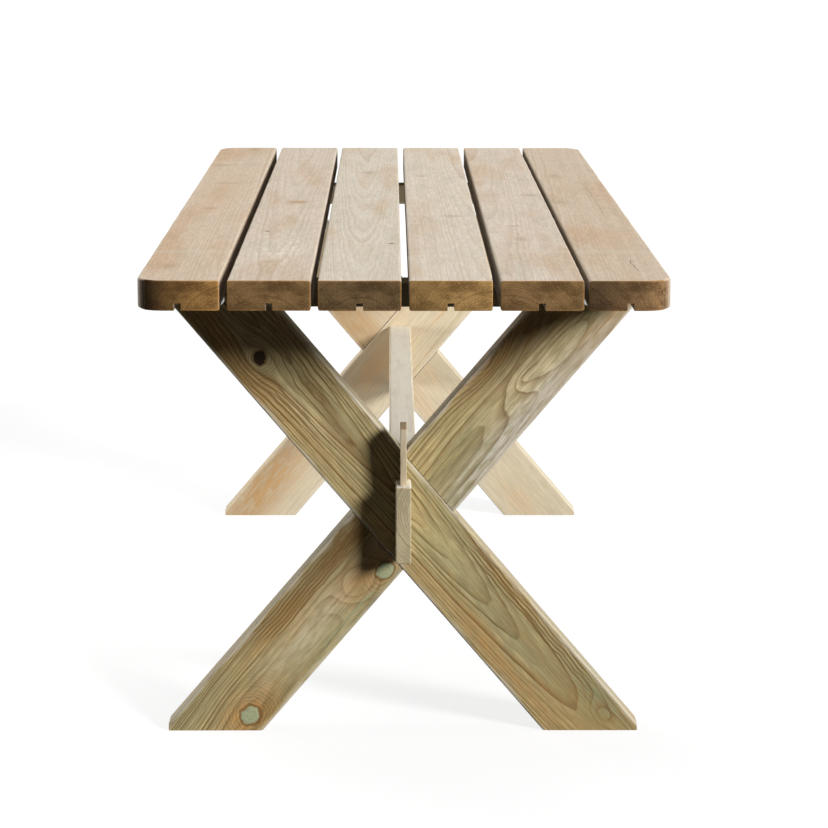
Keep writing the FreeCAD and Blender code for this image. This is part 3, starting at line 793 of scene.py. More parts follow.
def weave_worn_arris(weaver, given):
    """Rubbed wood along the long edges of a plank, broken up unevenly, and its two sides, whose colour is
    painted shade on the top boards and a painted highlight on the stretcher.
    """
    place = given["Place"]
    across, _, through = weaver.parts(place)
    near_side = given["Half Width"] - weaver.math("ABSOLUTE", across)
    near_face = given["Half Thickness"] - weaver.math("ABSOLUTE", through)
    under = given["Half Thickness"] - through
    broken = weaver.noise(place * BROKEN_SCALE, detail=3.0)
    reach = given["Reach"] * weaver.ramp(broken, 0.30, 0.72, 0.5, 1.7)
    border = weaver.math("MINIMUM", near_side, near_face) + broken * 0.002
    flank = weaver.ramp(near_side, 0.0030, 0.0006) * weaver.ramp(near_face, 0.0004, 0.0040)
    # Painted shade on the top boards: weaker on an open outer side, and deeper further below the upper face.
    flank = flank * weaver.ramp(across * given["Clean Side"], 0.0, 0.01, 1.0, 0.3)
    flank = flank * weaver.ramp(under, 0.0020, given["Clean Depth"], 0.5, 1.0)
    return {
        "Worn": weaver.ramp(near_side + near_face, reach, 0.0),
        "Border": weaver.ramp(border, 0.0042, 0.0012),
        "Flank": flank * weaver.ramp(broken, 0.2, 0.6, 0.75, 1.0),
    }


WORN_ARRIS = Group(
    "worn arris", weave_worn_arris, ("Worn", "Border", "Flank"),
    ("Half Width", "Half Thickness", "Reach", "Clean Side", "Clean Depth"),
)


def weave_bearer_mark(weaver, given):
    """A faint pale band across the boards over each bearer."""
    along = weaver.parts(given["Place"])[1]
    away = weaver.math("ABSOLUTE", weaver.math("ABSOLUTE", along) - given["Line"])
    away = away + weaver.noise(given["Place"] * RAGGED_SCALE) * 0.012
    return {"Mark": weaver.ramp(away, given["Half Depth"] * 1.25, 0.006)}


BEARER_MARK = Group("bearer mark", weave_bearer_mark, ("Mark",), ("Line", "Half Depth"))


def weave_zinc(weaver, given):
    """Crystals, chalky bloom and scuffs in a dull zinc coat."""
    place = given["Place"]
    cells = weaver.make("ShaderNodeTexVoronoi", named={"Vector": place, "Scale": 420.0}, output="Color")
    bloom = weaver.noise(place, scale=160.0, detail=4.0, roughness=0.6)
    return {
        "Spangle": weaver.parts(cells)[0],
        "Bloom": weaver.ramp(bloom, 0.48, 0.70),
        "Scuff": weaver.noise(place * SCUFF_SCALE),
    }


ZINC_COAT = Group("zinc coat", weave_zinc, ("Spangle", "Bloom", "Scuff"))


def tinted(colour, tint):
    return tuple(min(1.0, part * share) for part, share in zip(colour, tint))


def new_material(name):
    """A new material, the weaver for its nodes and its shader."""
    material = bpy.data.materials.new(name)
    material.use_nodes = True
    return material, Weaver(material.node_tree), material.node_tree.nodes["Principled BSDF"]


# Tints of the summer wood, of a knot, and of the blotches and pale specks on a sawn end.
LINE_TINT = (0.42, 0.38, 0.34)
RIM_TINT = (0.50, 0.42, 0.34)
KNOT_RING_TINT = (0.55, 0.52, 0.48)
BLOTCH_TINT = (1.25, 1.25, 1.3)
PALE_SPECK_TINT = (2.0, 2.0, 1.8)
# How far the rings fade at a calm place, and how strongly a live knot and a crack show.
CALM_SHARE = 0.85
LIVE_KNOT_SHARE = 0.6
CRACK_SHARE = 0.75
# How far from an edge the wood is rubbed.
WORN_REACH = 0.0070


class PinePaint:
    """Paints one plank as solid pine: the same rings run through its faces, edges and ends."""

    def __init__(self, name, placement, half_width, half_thickness, look_name, clean_side):
        self.pine = bpy.context.scene.sawbuck_pine
        self.grain = grain = GRAIN[name]
        self.look = LOOK[look_name]
        self.early, self.late = (
            tinted(getattr(self.pine, f"{look_name}_{season}"), grain.tint) for season in ("early", "late")
        )
        self.material, self.weaver, self.shader = new_material(f"pine_{name}")
        self.half_width = half_width
        self.dents = []
        turn = placement.to_3x3()
        named = {
            "Vector": self.weaver.make("ShaderNodeTexCoord", output="Object"),
            "Location": placement.to_translation(),
            "Rotation": turn.to_euler("XYZ"),
        }
        self.place = self.weaver.make("ShaderNodeMapping", named=named, vector_type="TEXTURE")
        self.marks = [(mark, self.woven(PINE_KNOT, self.place, mark)) for mark in grain.marks]
        self.flow, swell = self.place, 0.0
        if self.marks:
            swell = total([found["Swell"] for _, found in self.marks])
            self.flow = self.place - self.weaver.join(total([found["Push"] for _, found in self.marks]))
        self.rings = use_group(
            self.weaver, PINE_GRAIN, place=self.flow, pith_across=grain.pith[0], pith_depth=grain.pith[1],
            run_across=grain.run[0], run_depth=grain.run[1], ring_width=grain.ring, wander=grain.wander,
            swell=swell, seed=float(grain.seed),
        )
        self.edges = use_group(
            self.weaver, WORN_ARRIS, place=self.place, half_width=half_width, half_thickness=half_thickness,
            reach=WORN_REACH, clean_side=clean_side, clean_depth=self.look.clean_depth,
        )
        normal = self.weaver.make("ShaderNodeNewGeometry", output="Normal")
        self.sawn = use_group(self.weaver, SAWN_END, place=self.place, normal=normal, along=turn.col[1])

    def woven(self, group, place, entry):
        """Uses a group with the sizes of a mark or a check."""
        sizes = {word: size for word, size in entry._asdict().items() if socket_label(word) in group.numbers}
        return use_group(self.weaver, group, place=place, **sizes)

    def ringed(self):
        """Planed wood: stains and painted shade patches, growth rings, salts of the treatment and fibres."""
        weaver, pine, look, rings = self.weaver, self.pine, self.look, self.rings
        early = self.early
        broken = weaver.ramp(rings["Mottle"], 0.35, 0.62, 0.45, 1.0)
        late, line = rings["Late"], rings["Line"]
        bold = 1.0
        # Soft patches go into the spring wood under the rings; some on the near right leg are painted shade
        # and shadow.
        for mark, found in self.marks:
            if mark.kind == "calm":
                bold = bold - found["Halo"] * CALM_SHARE
            elif mark.stain:
                paint = pine.warm if mark.kind in KNOT_KINDS else getattr(pine, mark.kind)
                early = weaver.blend(found["Halo"] * broken * mark.stain, early, paint)
        if isinstance(bold, Signal):
            late, line = late * bold, line * bold
        colour = weaver.blend(late * look.contrast, early, self.late)
        colour = weaver.blend(line * look.line, colour, tinted(self.late, LINE_TINT))
        colour = weaver.blend(weaver.ramp(rings["Cast"], 0.45, 0.75, 0.0, look.salt), colour, pine.green)
        warm = tinted(pine.warm, self.grain.tint)
        colour = weaver.blend(weaver.ramp(rings["Tone"], 0.48, 0.72, 0.0, look.stain), colour, warm)
        fibre = weaver.ramp(rings["Fibre"], 0.30, 0.75, 1.0 - look.fibre, 1.0 + look.fibre * 0.5)
        mottle = weaver.ramp(rings["Mottle"], 0.3, 0.7, 1.0 - look.mottle, 1.0 + look.mottle * 0.6)
        return weaver.shaded(colour, fibre * mottle)

    def knotted(self, colour):
        """Adds the knots, each with a dark rim and fine rings round it."""
        dark = tinted(self.late, RIM_TINT)
        for mark, found in self.marks:
            if mark.kind in KNOT_KINDS:
                heart = getattr(self.pine, mark.kind)
                strength = LIVE_KNOT_SHARE if mark.kind == "knot" else 1.0
                body = self.weaver.blend(found["Rings"] * 0.50, heart, tinted(heart, KNOT_RING_TINT))
                colour = self.weaver.blend(found["Collar"] * (0.5 * strength), colour, dark)
                colour = self.weaver.blend(found["Rim"] * (0.7 * strength), colour, dark)
                colour = self.weaver.blend(found["Core"] * strength, colour, body)
                self.dents.append(found["Rim"])
        return colour

    def cracked(self, colour):
        """Adds the cracks and thin lines."""
        for check in self.grain.checks:
            crack = self.woven(DRYING_CHECK, self.flow, check)["Crack"]
            colour = self.weaver.blend(crack * CRACK_SHARE, colour, getattr(self.pine, check.tone))
            self.dents.append(crack)
        return colour

    def worn(self, colour):
        """Adds the pale bands over the bearers, the colour of the plank's sides and its rubbed edges. The
        side colour is painted shade in the top's gaps and a painted highlight on the stretcher.
        """
        weaver, pine, look = self.weaver, self.pine, self.look
        if look.bearer_mark:
            low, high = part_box("far_bearer")
            line, half_depth = (low.y + high.y) / 2, (high.y - low.y) / 2
            mark = use_group(weaver, BEARER_MARK, place=self.place, line=line, half_depth=half_depth)["Mark"]
            colour = weaver.blend(mark * look.bearer_mark, colour, pine.worn)
        colour = weaver.blend(self.edges["Flank"] * look.flank_share, colour, getattr(pine, look.flank))
        return weaver.blend(self.edges["Worn"] * look.worn, colour, pine.worn)

    def sawn_face(self):
        """A sawn end: rings, blotches, dark and pale specks, a warm border, and painted light and shade from
        one long edge to the other.
        """
        weaver, sawn, grit = self.weaver, self.sawn, self.look.grit
        bare, deep = (tinted(paint, self.grain.sawn_tint) for paint in (self.pine.sawn, self.pine.sawn_dark))
        face = weaver.blend(weaver.ramp(self.rings["Late"], 0.05, 0.75, 0.0, 0.40), bare, deep)
        blotch = weaver.ramp(sawn["Blotch"], 0.40, 0.66, 0.0, 0.75 * grit)
        face = weaver.blend(blotch, face, tinted(deep, BLOTCH_TINT))
        face = weaver.blend(weaver.ramp(sawn["Speck"], 0.56, 0.70, 0.0, 0.60 * grit), face, deep)
        pale = weaver.ramp(sawn["Speck"], 0.46, 0.30, 0.0, 0.55 * grit)
        face = weaver.blend(pale, face, tinted(bare, PALE_SPECK_TINT))
        face = weaver.blend(self.edges["Border"] * 0.40, face, self.pine.warm)
        # Painted light and shade: the end is made darker at one long edge and lighter at the other.
        left, right = self.grain.sawn_sides
        if left != right:
            across = weaver.parts(self.place)[0]
            face = weaver.shaded(face, weaver.ramp(across, -self.half_width, self.half_width, left, right))
        return face

    def relief(self):
        """Height of the surface: raised rings and fibres, dented knots and cracks, torn sawn ends."""
        height = self.rings["Late"] * 0.5 + self.rings["Fibre"] * 0.45
        if self.dents:
            height = height - total(self.dents) * 0.8
        tear = self.sawn["Speck"] * 1.8 + self.sawn["Kerf"] * 0.3
        return height + tear * self.sawn["End"]

    def painted(self):
        """The finished material."""
        weaver = self.weaver
        colour = self.worn(self.cracked(self.knotted(self.ringed())))
        named = {"Strength": 0.45, "Distance": 0.0007, "Height": self.relief()}
        made = {
            "Base Color": weaver.blend(self.sawn["End"], colour, self.sawn_face()),
            "Roughness": weaver.ramp(self.rings["Late"], 0.0, 1.0, 0.84, 0.72) + self.sawn["End"] * 0.08,
            "Specular IOR Level": 0.14,
            "Normal": weaver.make("ShaderNodeBump", named=named),
        }
        for label, value in made.items():
            weaver.fill(self.shader.inputs[label], value)
        return self.material


def pine_material(name, placement, half_width, half_thickness, look_name, clean_side=0.0):
    """Treated pine for one plank, which lies across, along and through its placement."""
    return PinePaint(name, placement, half_width, half_thickness, look_name, clean_side).painted()


def zinc_material(name, rust):
    """Dull zinc, with a share of rust where it is scuffed."""
    fixings = bpy.context.scene.sawbuck_fixings
    material, weaver, shader = new_material(name)
    coat = use_group(weaver, ZINC_COAT, place=weaver.make("ShaderNodeTexCoord", output="Object"))
    colour = weaver.blend(coat["Spangle"] * 0.45, fixings.zinc, tinted(fixings.zinc, (0.7, 0.7, 0.72)))
    colour = weaver.blend(coat["Bloom"] * 0.5, colour, fixings.zinc_bloom)
    colour = weaver.blend(weaver.ramp(coat["Scuff"], 0.60, 0.75, 0.0, rust), colour, fixings.rust)
    named = {"Strength": 0.25, "Distance": 0.0002, "Height": coat["Scuff"]}
    made = {
        "Base Color": colour,
        "Metallic": weaver.ramp(coat["Bloom"], 0.0, 1.0, 0.80, 0.30),
        "Roughness": weaver.ramp(coat["Scuff"], 0.3, 0.8, 0.36, 0.62),
        "Normal": weaver.make("ShaderNodeBump", named=named),
    }
    for label, value in made.items():
        weaver.fill(shader.inputs[label], value)
    return material


def link_object(name, data):
    made = bpy.data.objects.new(name, data)
    bpy.context.scene.collection.objects.link(made)
    return made


def baked(scratch):
    """The object's mesh with its modifiers worked in; the object itself is removed."""
    view = bpy.context.evaluated_depsgraph_get()
    mesh = bpy.data.meshes.new_from_object(scratch.evaluated_get(view))
    old = scratch.data
    bpy.data.objects.remove(scratch)
    bpy.data.meshes.remove(old)
    return mesh


def from_tree(tree, mesh, **values):
    """Runs a geometry tree on a mesh with its inputs set."""
    scratch = link_object("tree_work", mesh)
    modifier = scratch.modifiers.new("tree", "NODES")
    modifier.node_group = tree
    sockets = {item.name: item.identifier for item in tree.interface.items_tree if item.in_out == "INPUT"}
    for word, value in values.items():
        modifier[sockets[socket_label(word)]] = value
    return baked(scratch)


def close_tree(weaver, out, part, material):
    """Ends a geometry tree: its instances are made real and its material is set."""
    solid = weaver.make("GeometryNodeRealizeInstances", part)
    solid = weaver.make("GeometryNodeSetMaterial", named={"Geometry": solid, "Material": material})
    weaver.fill(out.inputs[0], solid)
    return weaver.tree


TINY = 0.0001
PLANK_INPUTS = {
    "Size": "vector", "Arris": "vector", "Flat Share": "vector", "Cells Across": "count",
    "Cells Along": "count", "Cells Through": "count", "Wear": "value", "Hollow": "value",
    "Corner Radius": "value", "Corner Side": "value", "Seed": "value", "Material": "material",
}


def plank_tree():
    """Tree for a plank along Y: a box with rounded, unevenly worn edges and slightly dished faces."""
    tree = bpy.data.node_groups.get("worn plank")
    if tree is not None:
        return tree
    weaver, given, out = new_tree("worn plank", "GeometryNodeTree", PLANK_INPUTS, {"Geometry": "geometry"})
    cells = (given["Cells Across"], given["Cells Along"], given["Cells Through"])
    box = weaver.make("GeometryNodeMeshCube", (2.0, 2.0, 2.0), *cells, output="Mesh")
    spot = weaver.make("GeometryNodeInputPosition")
    size = weaver.vector("ABSOLUTE", spot)
    half = given["Size"] * 0.5
    offset = weaver.join(given["Seed"], 0.0, 0.0)

    chance = weaver.noise(spot * half * WEAR_SCALE + offset)
    arris = given["Arris"] * (1.0 + (chance - 0.5) * (given["Wear"] * 3.0))
    share = given["Flat Share"]
    flat = weaver.vector("MINIMUM", size, share) / share
    over = weaver.vector("MAXIMUM", size - share, (0.0, 0.0, 0.0)) / ((1.0, 1.0, 1.0) - share)
    first, second, third = weaver.parts(over)
    most = weaver.math("MAXIMUM", weaver.math("MAXIMUM", first, second), third)
    round_off = most / weaver.math("MAXIMUM", weaver.vector("LENGTH", over), TINY)
    rim = over * round_off * arris
    shape = weaver.vector("SIGN", spot) * ((half - arris) * flat + rim)

    x, y, _ = weaver.parts(shape)
    half_x, half_y, _ = weaver.parts(half)
    radius, side = given["Corner Radius"], given["Corner Side"]
    into_x = x * side - (half_x - radius)
    into_y = weaver.math("ABSOLUTE", y) - (half_y - radius)
    inside = weaver.math("GREATER_THAN", into_x, 0.0) * weaver.math("GREATER_THAN", into_y, 0.0)
    reach = weaver.math("MAXIMUM", weaver.length(into_x, into_y), TINY)
    pull = (1.0 - weaver.math("MAXIMUM", into_x, into_y) / reach) * inside
    shift = weaver.join(into_x * pull * side, into_y * pull * weaver.math("SIGN", y), 0.0)
    shape = shape - shift

    dish = weaver.noise(shape * DISH_SCALE + offset, detail=1.0)
    dip = weaver.ramp(dish, 0.2, 0.8) * given["Hollow"]
    sunk = weaver.join(dip, 0.0, dip) * weaver.vector("FLOOR", size)
    shape = shape - weaver.vector("SIGN", shape) * sunk
    part = weaver.make("GeometryNodeSetPosition", named={"Geometry": box, "Position": shape})
    return close_tree(weaver, out, part, given["Material"])


# Mesh cells over each rounded edge, and the fewest between two edges across, along and through.
ARRIS_CELLS = 3
FEWEST_CELLS = (4, 4, 2)


def plank_blank(size, arris, end_arris, seed, material, corner_side=0.0, corner_radius=0.0):
    """A plank as it comes from the planer, along Y and centred on the origin."""
    timber = bpy.context.scene.sawbuck_timber
    spacing = (timber.cell, timber.station, timber.cell)
    cells = [
        2 * ARRIS_CELLS + max(fewest, round(side / step))
        for side, step, fewest in zip(size, spacing, FEWEST_CELLS)
    ]
    return from_tree(
        plank_tree(), bpy.data.meshes.new("plank"), size=size, arris=(arris, end_arris, arris),
        flat_share=[1 - 2 * ARRIS_CELLS / count for count in cells], cells_across=cells[0] + 1,
        cells_along=cells[1] + 1, cells_through=cells[2] + 1, wear=timber.arris_wear, hollow=timber.hollow,
        corner_radius=corner_radius, corner_side=corner_side, seed=float(seed), material=material,
    )


def prism(outline, low, high, placement):
    """A closed cutter: an outline in X and Y, from low to high along Z, moved by the placement."""
    shape = bmesh.new()
    bottom = shape.faces.new([shape.verts.new((x, y, low)) for x, y in outline])
    raised_parts = bmesh.ops.extrude_face_region(shape, geom=[bottom])["geom"]
    top = [part for part in raised_parts if isinstance(part, bmesh.types.BMVert)]
    bmesh.ops.translate(shape, vec=(0, 0, high - low), verts=top)
    shape.transform(placement)
    bmesh.ops.recalc_face_normals(shape, faces=shape.faces)
    mesh = bpy.data.meshes.new("cutter")
    shape.to_mesh(mesh)
    shape.free()
    return mesh


def block(low, high, placement=None):
    """A closed box cutter between two corners."""
    outline = [(low[0], low[1]), (high[0], low[1]), (high[0], high[1]), (low[0], high[1])]
    return prism(outline, low[2], high[2], placement or Matrix())


def carved(mesh, cutters, operation="DIFFERENCE"):
    """The mesh with each cutter taken away from it, or joined to it."""
    scratch = link_object("carving", mesh)
    helpers = [link_object("cutter", cutter) for cutter in cutters]
    for helper in helpers:
        modifier = scratch.modifiers.new("cut", "BOOLEAN")
        modifier.operation = operation
        modifier.solver = "EXACT"
        modifier.object = helper
    result = baked(scratch)
    for helper, cutter in zip(helpers, cutters):
        bpy.data.objects.remove(helper)
        bpy.data.meshes.remove(cutter)
    return result


SHARP_ANGLE = math.radians(32)


def finished(node, mesh, material, body):
    """Turns a mesh into the piece that stands for a node of the frame."""
    mesh.materials.clear()
    mesh.materials.append(material)
    mesh.shade_smooth()
    mesh.set_sharp_from_angle(angle=SHARP_ANGLE)
    scratch = link_object("shading", mesh)
    modifier = scratch.modifiers.new("weights", "WEIGHTED_NORMAL")
    modifier.keep_sharp = True
    mesh = baked(scratch)
    if not mesh.polygons:
        raise RuntimeError(f"{node} has come out empty")
    mesh.name = f"dressed_{node}"
    piece = link_object(f"dressed_{node}", mesh)
    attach(piece, body)
    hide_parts(node)
    return piece


def box_of(node):
    """Middle and size of a node of the frame."""
    low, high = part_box(node)
    return (low + high) / 2, high - low


def reach_along(node):
    """How near to and how far from the middle of the table's length a node reaches."""
    low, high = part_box(node)
    return sorted((abs(low.y), abs(high.y)))


def axes(across, along, middle):
    """Placement of a plank: its width lies along across, its length along along."""
    across, along = Vector(across).normalized(), Vector(along).normalized()
    turn = Matrix((across, along, across.cross(along))).transposed()
    return Matrix.Translation(middle) @ turn.to_4x4()


def leg_axes(node):
    """Placement of a leg about the crossing of its X, with the plank's face towards -Y."""
    middle, size = box_of(node)
    lean = bpy.context.scene.sawbuck_timber.leg_spread * (-1 if node.endswith("top_left") else 1)
    return axes((size.z, 0, -lean), (lean, 0, size.z), middle)


class SAWBUCK_OT_boards(bpy.types.Operator):
    """Makes the six boards of the top, each with its relief groove"""

    bl_idname = "sawbuck.boards"
    bl_label = "Top boards"

    def execute(self, context):
        timber = context.scene.sawbuck_timber
        half = timber.groove_width / 2
        for node in BOARDS:
            middle, size = box_of(node)
            placement = Matrix.Translation(middle)
            side = {BOARDS[0]: -1.0, BOARDS[-1]: 1.0}.get(node, 0.0)
            material = pine_material(node, placement, size.x / 2, size.z / 2, "top", side)
            mesh = plank_blank(
                size, timber.plank_arris, timber.sawn_arris, GRAIN[node].seed, material, side,
                timber.corner_radius if side else 0.0,
            )
            groove = block((-half, -size.y, -size.z), (half, size.y, timber.groove_depth - size.z / 2))
            mesh = carved(mesh, [groove])
            mesh.transform(placement)
            finished(node, mesh, material, "table")
        return {"FINISHED"}


# Half the width of a cutter that reaches past the whole table, how deep it cuts, how much longer a blank is
# than the diagonal of its leg's box, and half the length of a lap's cutter.
CUT_REACH, CUT_DEPTH = 2.0, 1.0
BLANK_SHARE = 1.25
LAP_REACH = 0.3


class SAWBUCK_OT_legs(bpy.types.Operator):
    """Makes the four legs and halves them into each other in pairs"""

    bl_idname = "sawbuck.legs"
    bl_label = "Legs"

    def execute(self, context):
        timber = context.scene.sawbuck_timber
        face_legs = {"near": "near_leg_top_left", "far": "far_leg_top_right"}
        looks = {"near": "leg", "far": "far"}
        for end, face_leg in face_legs.items():
            pair = [f"{end}_leg_top_left", f"{end}_leg_top_right"]
            for node, other in (pair, pair[::-1]):
                placement = leg_axes(node)
                size = box_of(node)[1]
                thickness = size.y
                material = pine_material(node, placement, timber.plank_width / 2, thickness / 2, looks[end])
                mesh = plank_blank(
                    (timber.plank_width, size.length * BLANK_SHARE, thickness), timber.plank_arris,
                    timber.sawn_arris, GRAIN[node].seed, material,
                )
                mesh.transform(placement)
                lap = self.lap(timber, leg_axes(other), -thickness if node == face_leg else thickness)
                cutters = [*self.ends(node), lap, self.mortise(timber)]
                finished(node, carved(mesh, cutters), material, "table")
        return {"FINISHED"}

    def ends(self, node):
        """Cutters for the foot, the top and the two trimmed toes of a leg."""
        low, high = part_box(node)
        far, deep = CUT_REACH, CUT_DEPTH
        return [
            block((-far, -far, low.z - deep), (far, far, low.z)),
            block((-far, -far, high.z), (far, far, high.z + deep)),
            block((low.x - deep, -far, -deep), (low.x, far, far)),
            block((high.x, -far, -deep), (high.x + deep, far, far)),
        ]

    def lap(self, timber, crossing, depth):
        """Cutter for the half of a leg that the other leg of its X fills."""
        half, gap = timber.plank_width / 2, timber.clearance / 2
        low, high = sorted((math.copysign(gap, depth), depth))
        return block((-half - gap, -LAP_REACH, low), (half + gap, LAP_REACH, high), crossing)

    def mortise(self, timber):
        """Cutter for the hole that a tenon passes through."""
        low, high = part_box("stretcher")
        half, gap = timber.tenon_thickness / 2, timber.clearance
        return block((-half - gap, -CUT_REACH, low.z - gap), (half + gap, CUT_REACH, high.z + gap))


# A countersink in radii of the head: its mouth, its floor, its depth and the rise of its middle.
SINK_MOUTH, SINK_FLOOR, SINK_DEPTH, SINK_RISE = 1.22, 0.2, 1.02, 0.31
SINK_CORNERS = 24


class SAWBUCK_OT_bearers(bpy.types.Operator):
    """Makes the two bearers with their countersunk screw holes"""

    bl_idname = "sawbuck.bearers"
    bl_label = "Bearers"

    def execute(self, context):
        arris = context.scene.sawbuck_timber.bearer_arris
        for end in ENDS:
            node = f"{end}_bearer"
            middle, size = box_of(node)
            placement = axes((0, -1, 0), (1, 0, 0), middle)
            material = pine_material(node, placement, size.y / 2, size.z / 2, "bearer")
            mesh = plank_blank((size.y, size.x, size.z), arris, arris, GRAIN[node].seed, material)
            mesh.transform(placement)
            underside = middle.z - size.z / 2
            mesh = carved(mesh, [self.countersinks(context.scene.sawbuck_fixings, middle.y, underside)])
            finished(node, mesh, material, "table")
        return {"FINISHED"}

    def countersinks(self, fixings, along, underside):
        """Cutter for all the screw holes of a bearer: a row of cones, each a little larger than a head."""
        shape = bmesh.new()
        radius = fixings.screw_head / 2
        for across in screw_lines(fixings):
            bmesh.ops.create_cone(
                shape, cap_ends=True, segments=SINK_CORNERS, radius1=radius * SINK_MOUTH,
                radius2=radius * SINK_FLOOR, depth=radius * SINK_DEPTH,
                matrix=Matrix.Translation((across, along, underside + radius * SINK_RISE)),
            )
        mesh = bpy.data.meshes.new("countersinks")
        shape.to_mesh(mesh)
        shape.free()
        return mesh


def screw_lines(fixings):
    """Where the screws lie across the table: two under each board."""
    return [box_of(node)[0].x + side * fixings.screw_spacing / 2 for node in BOARDS for side in (-1, 1)]


# How far the slot's cutter reaches past the tenon, and the slot past the wedge's inner edge.
SLOT_REACH = 0.01
SLOT_PLAY = 0.003


def wedge_slot(end, timber):
    """Cutter for the tapered slot that a wedge fills."""
    wedge_low, wedge_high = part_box(f"{end}_wedge")
    rail_low, rail_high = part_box("stretcher")
    half, gap = (wedge_high.x - wedge_low.x) / 2, timber.clearance
    seat, outside = reach_along(f"{end}_wedge")
    slope = (outside - seat - timber.wedge_tip_width) / (wedge_high.z - wedge_low.z)
    bottom, top = rail_low.z - SLOT_REACH, rail_high.z + SLOT_REACH
    low_edge, high_edge = (
        seat + timber.wedge_tip_width + slope * (level - wedge_low.z) + gap for level in (bottom, top)
    )
    inside = seat - SLOT_PLAY
    corners = ((inside, bottom), (low_edge, bottom), (high_edge, top), (inside, top))
    outline = [(ENDS[end] * along, level) for along, level in corners]
    upright = Matrix(((0, 0, 1, 0), (1, 0, 0, 0), (0, 1, 0, 0), (0, 0, 0, 1)))
    return prism(outline, -half - gap, half + gap, upright)


class SAWBUCK_OT_stretcher(bpy.types.Operator):
    """Makes the stretcher with a slotted tenon at each end"""

    bl_idname = "sawbuck.stretcher"
    bl_label = "Stretcher"

    def execute(self, context):
        timber = context.scene.sawbuck_timber
        middle, size = box_of("stretcher")
        placement = axes((0, 0, 1), (0, 1, 0), middle)
        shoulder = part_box("far_leg_top_left")[0].y
        seed = GRAIN["stretcher"].seed
        material = pine_material("stretcher", placement, size.z / 2, size.x / 2, "rail")
        body = plank_blank(
            (size.z, 2 * shoulder, size.x), timber.plank_arris, timber.sawn_arris, seed, material
        )
        tenons = plank_blank(
            (size.z, size.y, timber.tenon_thickness), timber.tenon_arris, timber.tenon_arris, seed + 1,
            material,
        )
        mesh = carved(body, [tenons], "UNION")
        mesh.transform(placement)
        mesh = carved(mesh, [wedge_slot(end, timber) for end in ENDS])
        finished("stretcher", mesh, material, "table")
        return {"FINISHED"}


# The upper part of a wedge that hammering has rounded, as a share of its length.
CROWN_SHARE = 0.1


class SAWBUCK_OT_wedges(bpy.types.Operator):
    """Makes the two loose wedges, tapered and with hammered tops"""

    bl_idname = "sawbuck.wedges"
    bl_label = "Wedges"

    def execute(self, context):
        timber = context.scene.sawbuck_timber
        arris, tip = timber.wedge_arris, timber.wedge_tip_width
        for end, side in ENDS.items():
            node = f"{end}_wedge"
            middle, size = box_of(node)
            placement = axes((0, side, 0), (0, 0, 1), middle)
            material = pine_material(node, placement, size.y / 2, size.x / 2, "wedge")
            mesh = plank_blank((size.y, size.z, size.x), arris, arris, GRAIN[node].seed, material)
            for vertex in mesh.vertices:
                across, along, through = vertex.co
                rise = along / size.z + 0.5
                width = tip + (size.y - tip) * rise
                share = across / size.y + 0.5
                near_top = max(0.0, rise - (1 - CROWN_SHARE)) / CROWN_SHARE
                crown = timber.wedge_crown * (2 * share - 1) ** 2 * near_top
                vertex.co = (width * share - size.y / 2, along - crown, through)
            mesh.transform(placement)
            finished(node, mesh, material, node)
        return {"FINISHED"}


def places_mesh(points):
    """A mesh of bare points for a set of fixings."""
    mesh = bpy.data.meshes.new("places")
    mesh.from_pydata([tuple(point) for point in points], [], [])
    return mesh


def fixing_tree(name, sizes, weave):
    """Tree that sets one fixing, woven from named sizes along +Z, at every point of a mesh."""
    tree = bpy.data.node_groups.get(name)
    if tree is not None:
        return tree
    inputs = {"Geometry": "geometry", **dict.fromkeys(sizes, "value"), "Turn": "turn", "Material": "material"}
    weaver, given, out = new_tree(name, "GeometryNodeTree", inputs, {"Geometry": "geometry"})
    named = {"Points": given["Geometry"], "Instance": weave(weaver, given), "Rotation": given["Turn"]}
    placed = weaver.make("GeometryNodeInstanceOnPoints", named=named)
    return close_tree(weaver, out, placed, given["Material"])


# Corners of a part that is to look round.
ROUND = 32


def circle(weaver, radius, corners=ROUND):
    named = {"Resolution": corners, "Radius": radius}
    return weaver.make("GeometryNodeCurvePrimitiveCircle", named=named)


def column(weaver, radius, depth, corners=ROUND):
    named = {"Vertices": corners, "Radius": radius, "Depth": depth}
    return weaver.make("GeometryNodeMeshCylinder", named=named, output="Mesh")


def swept(weaver, path, section, **more):
    """A section drawn along a path."""
    named = {"Curve": path, "Profile Curve": section, **more}
    return weaver.make("GeometryNodeCurveToMesh", named=named)


def turned(weaver, height, radius, count, weave_outline):
    """A lathe: a column of rings whose level and radius follow an outline from 0 to 1."""
    line = weaver.make("GeometryNodeCurvePrimitiveLine", (0, 0, 0), (0, 0, 1.0))
    line = weaver.make("GeometryNodeResampleCurve", named={"Curve": line, "Count": count})
    level, girth = weave_outline(weaver.make("GeometryNodeSplineParameter", output="Factor"))
    spot = weaver.join(0.0, 0.0, level * height)
    line = weaver.make("GeometryNodeSetPosition", named={"Geometry": line, "Position": spot})
    return swept(weaver, line, circle(weaver, 1.0), **{"Scale": girth * radius, "Fill Caps": True})


def raised(weaver, part, level):
    named = {"Geometry": part, "Translation": weaver.join(0.0, 0.0, level)}
    return weaver.make("GeometryNodeTransform", named=named)


def joined(weaver, *parts):
    made = weaver.node("GeometryNodeJoinGeometry")
    for part in parts:
        weaver.fill(made.inputs[0], part)
    return Signal(weaver, made.outputs[0])


def bored(weaver, part, cutter):
    """A part with a cutter taken away from it."""
    named = {"Mesh 1": part, "Mesh 2": cutter}
    return weaver.make("GeometryNodeMeshBoolean", named=named, operation="DIFFERENCE", solver="EXACT")


BOLT_SIZES = ("Head", "Head Height", "Diameter", "Length", "Thread", "Pitch")
DOME_ANGLE = math.radians(88)


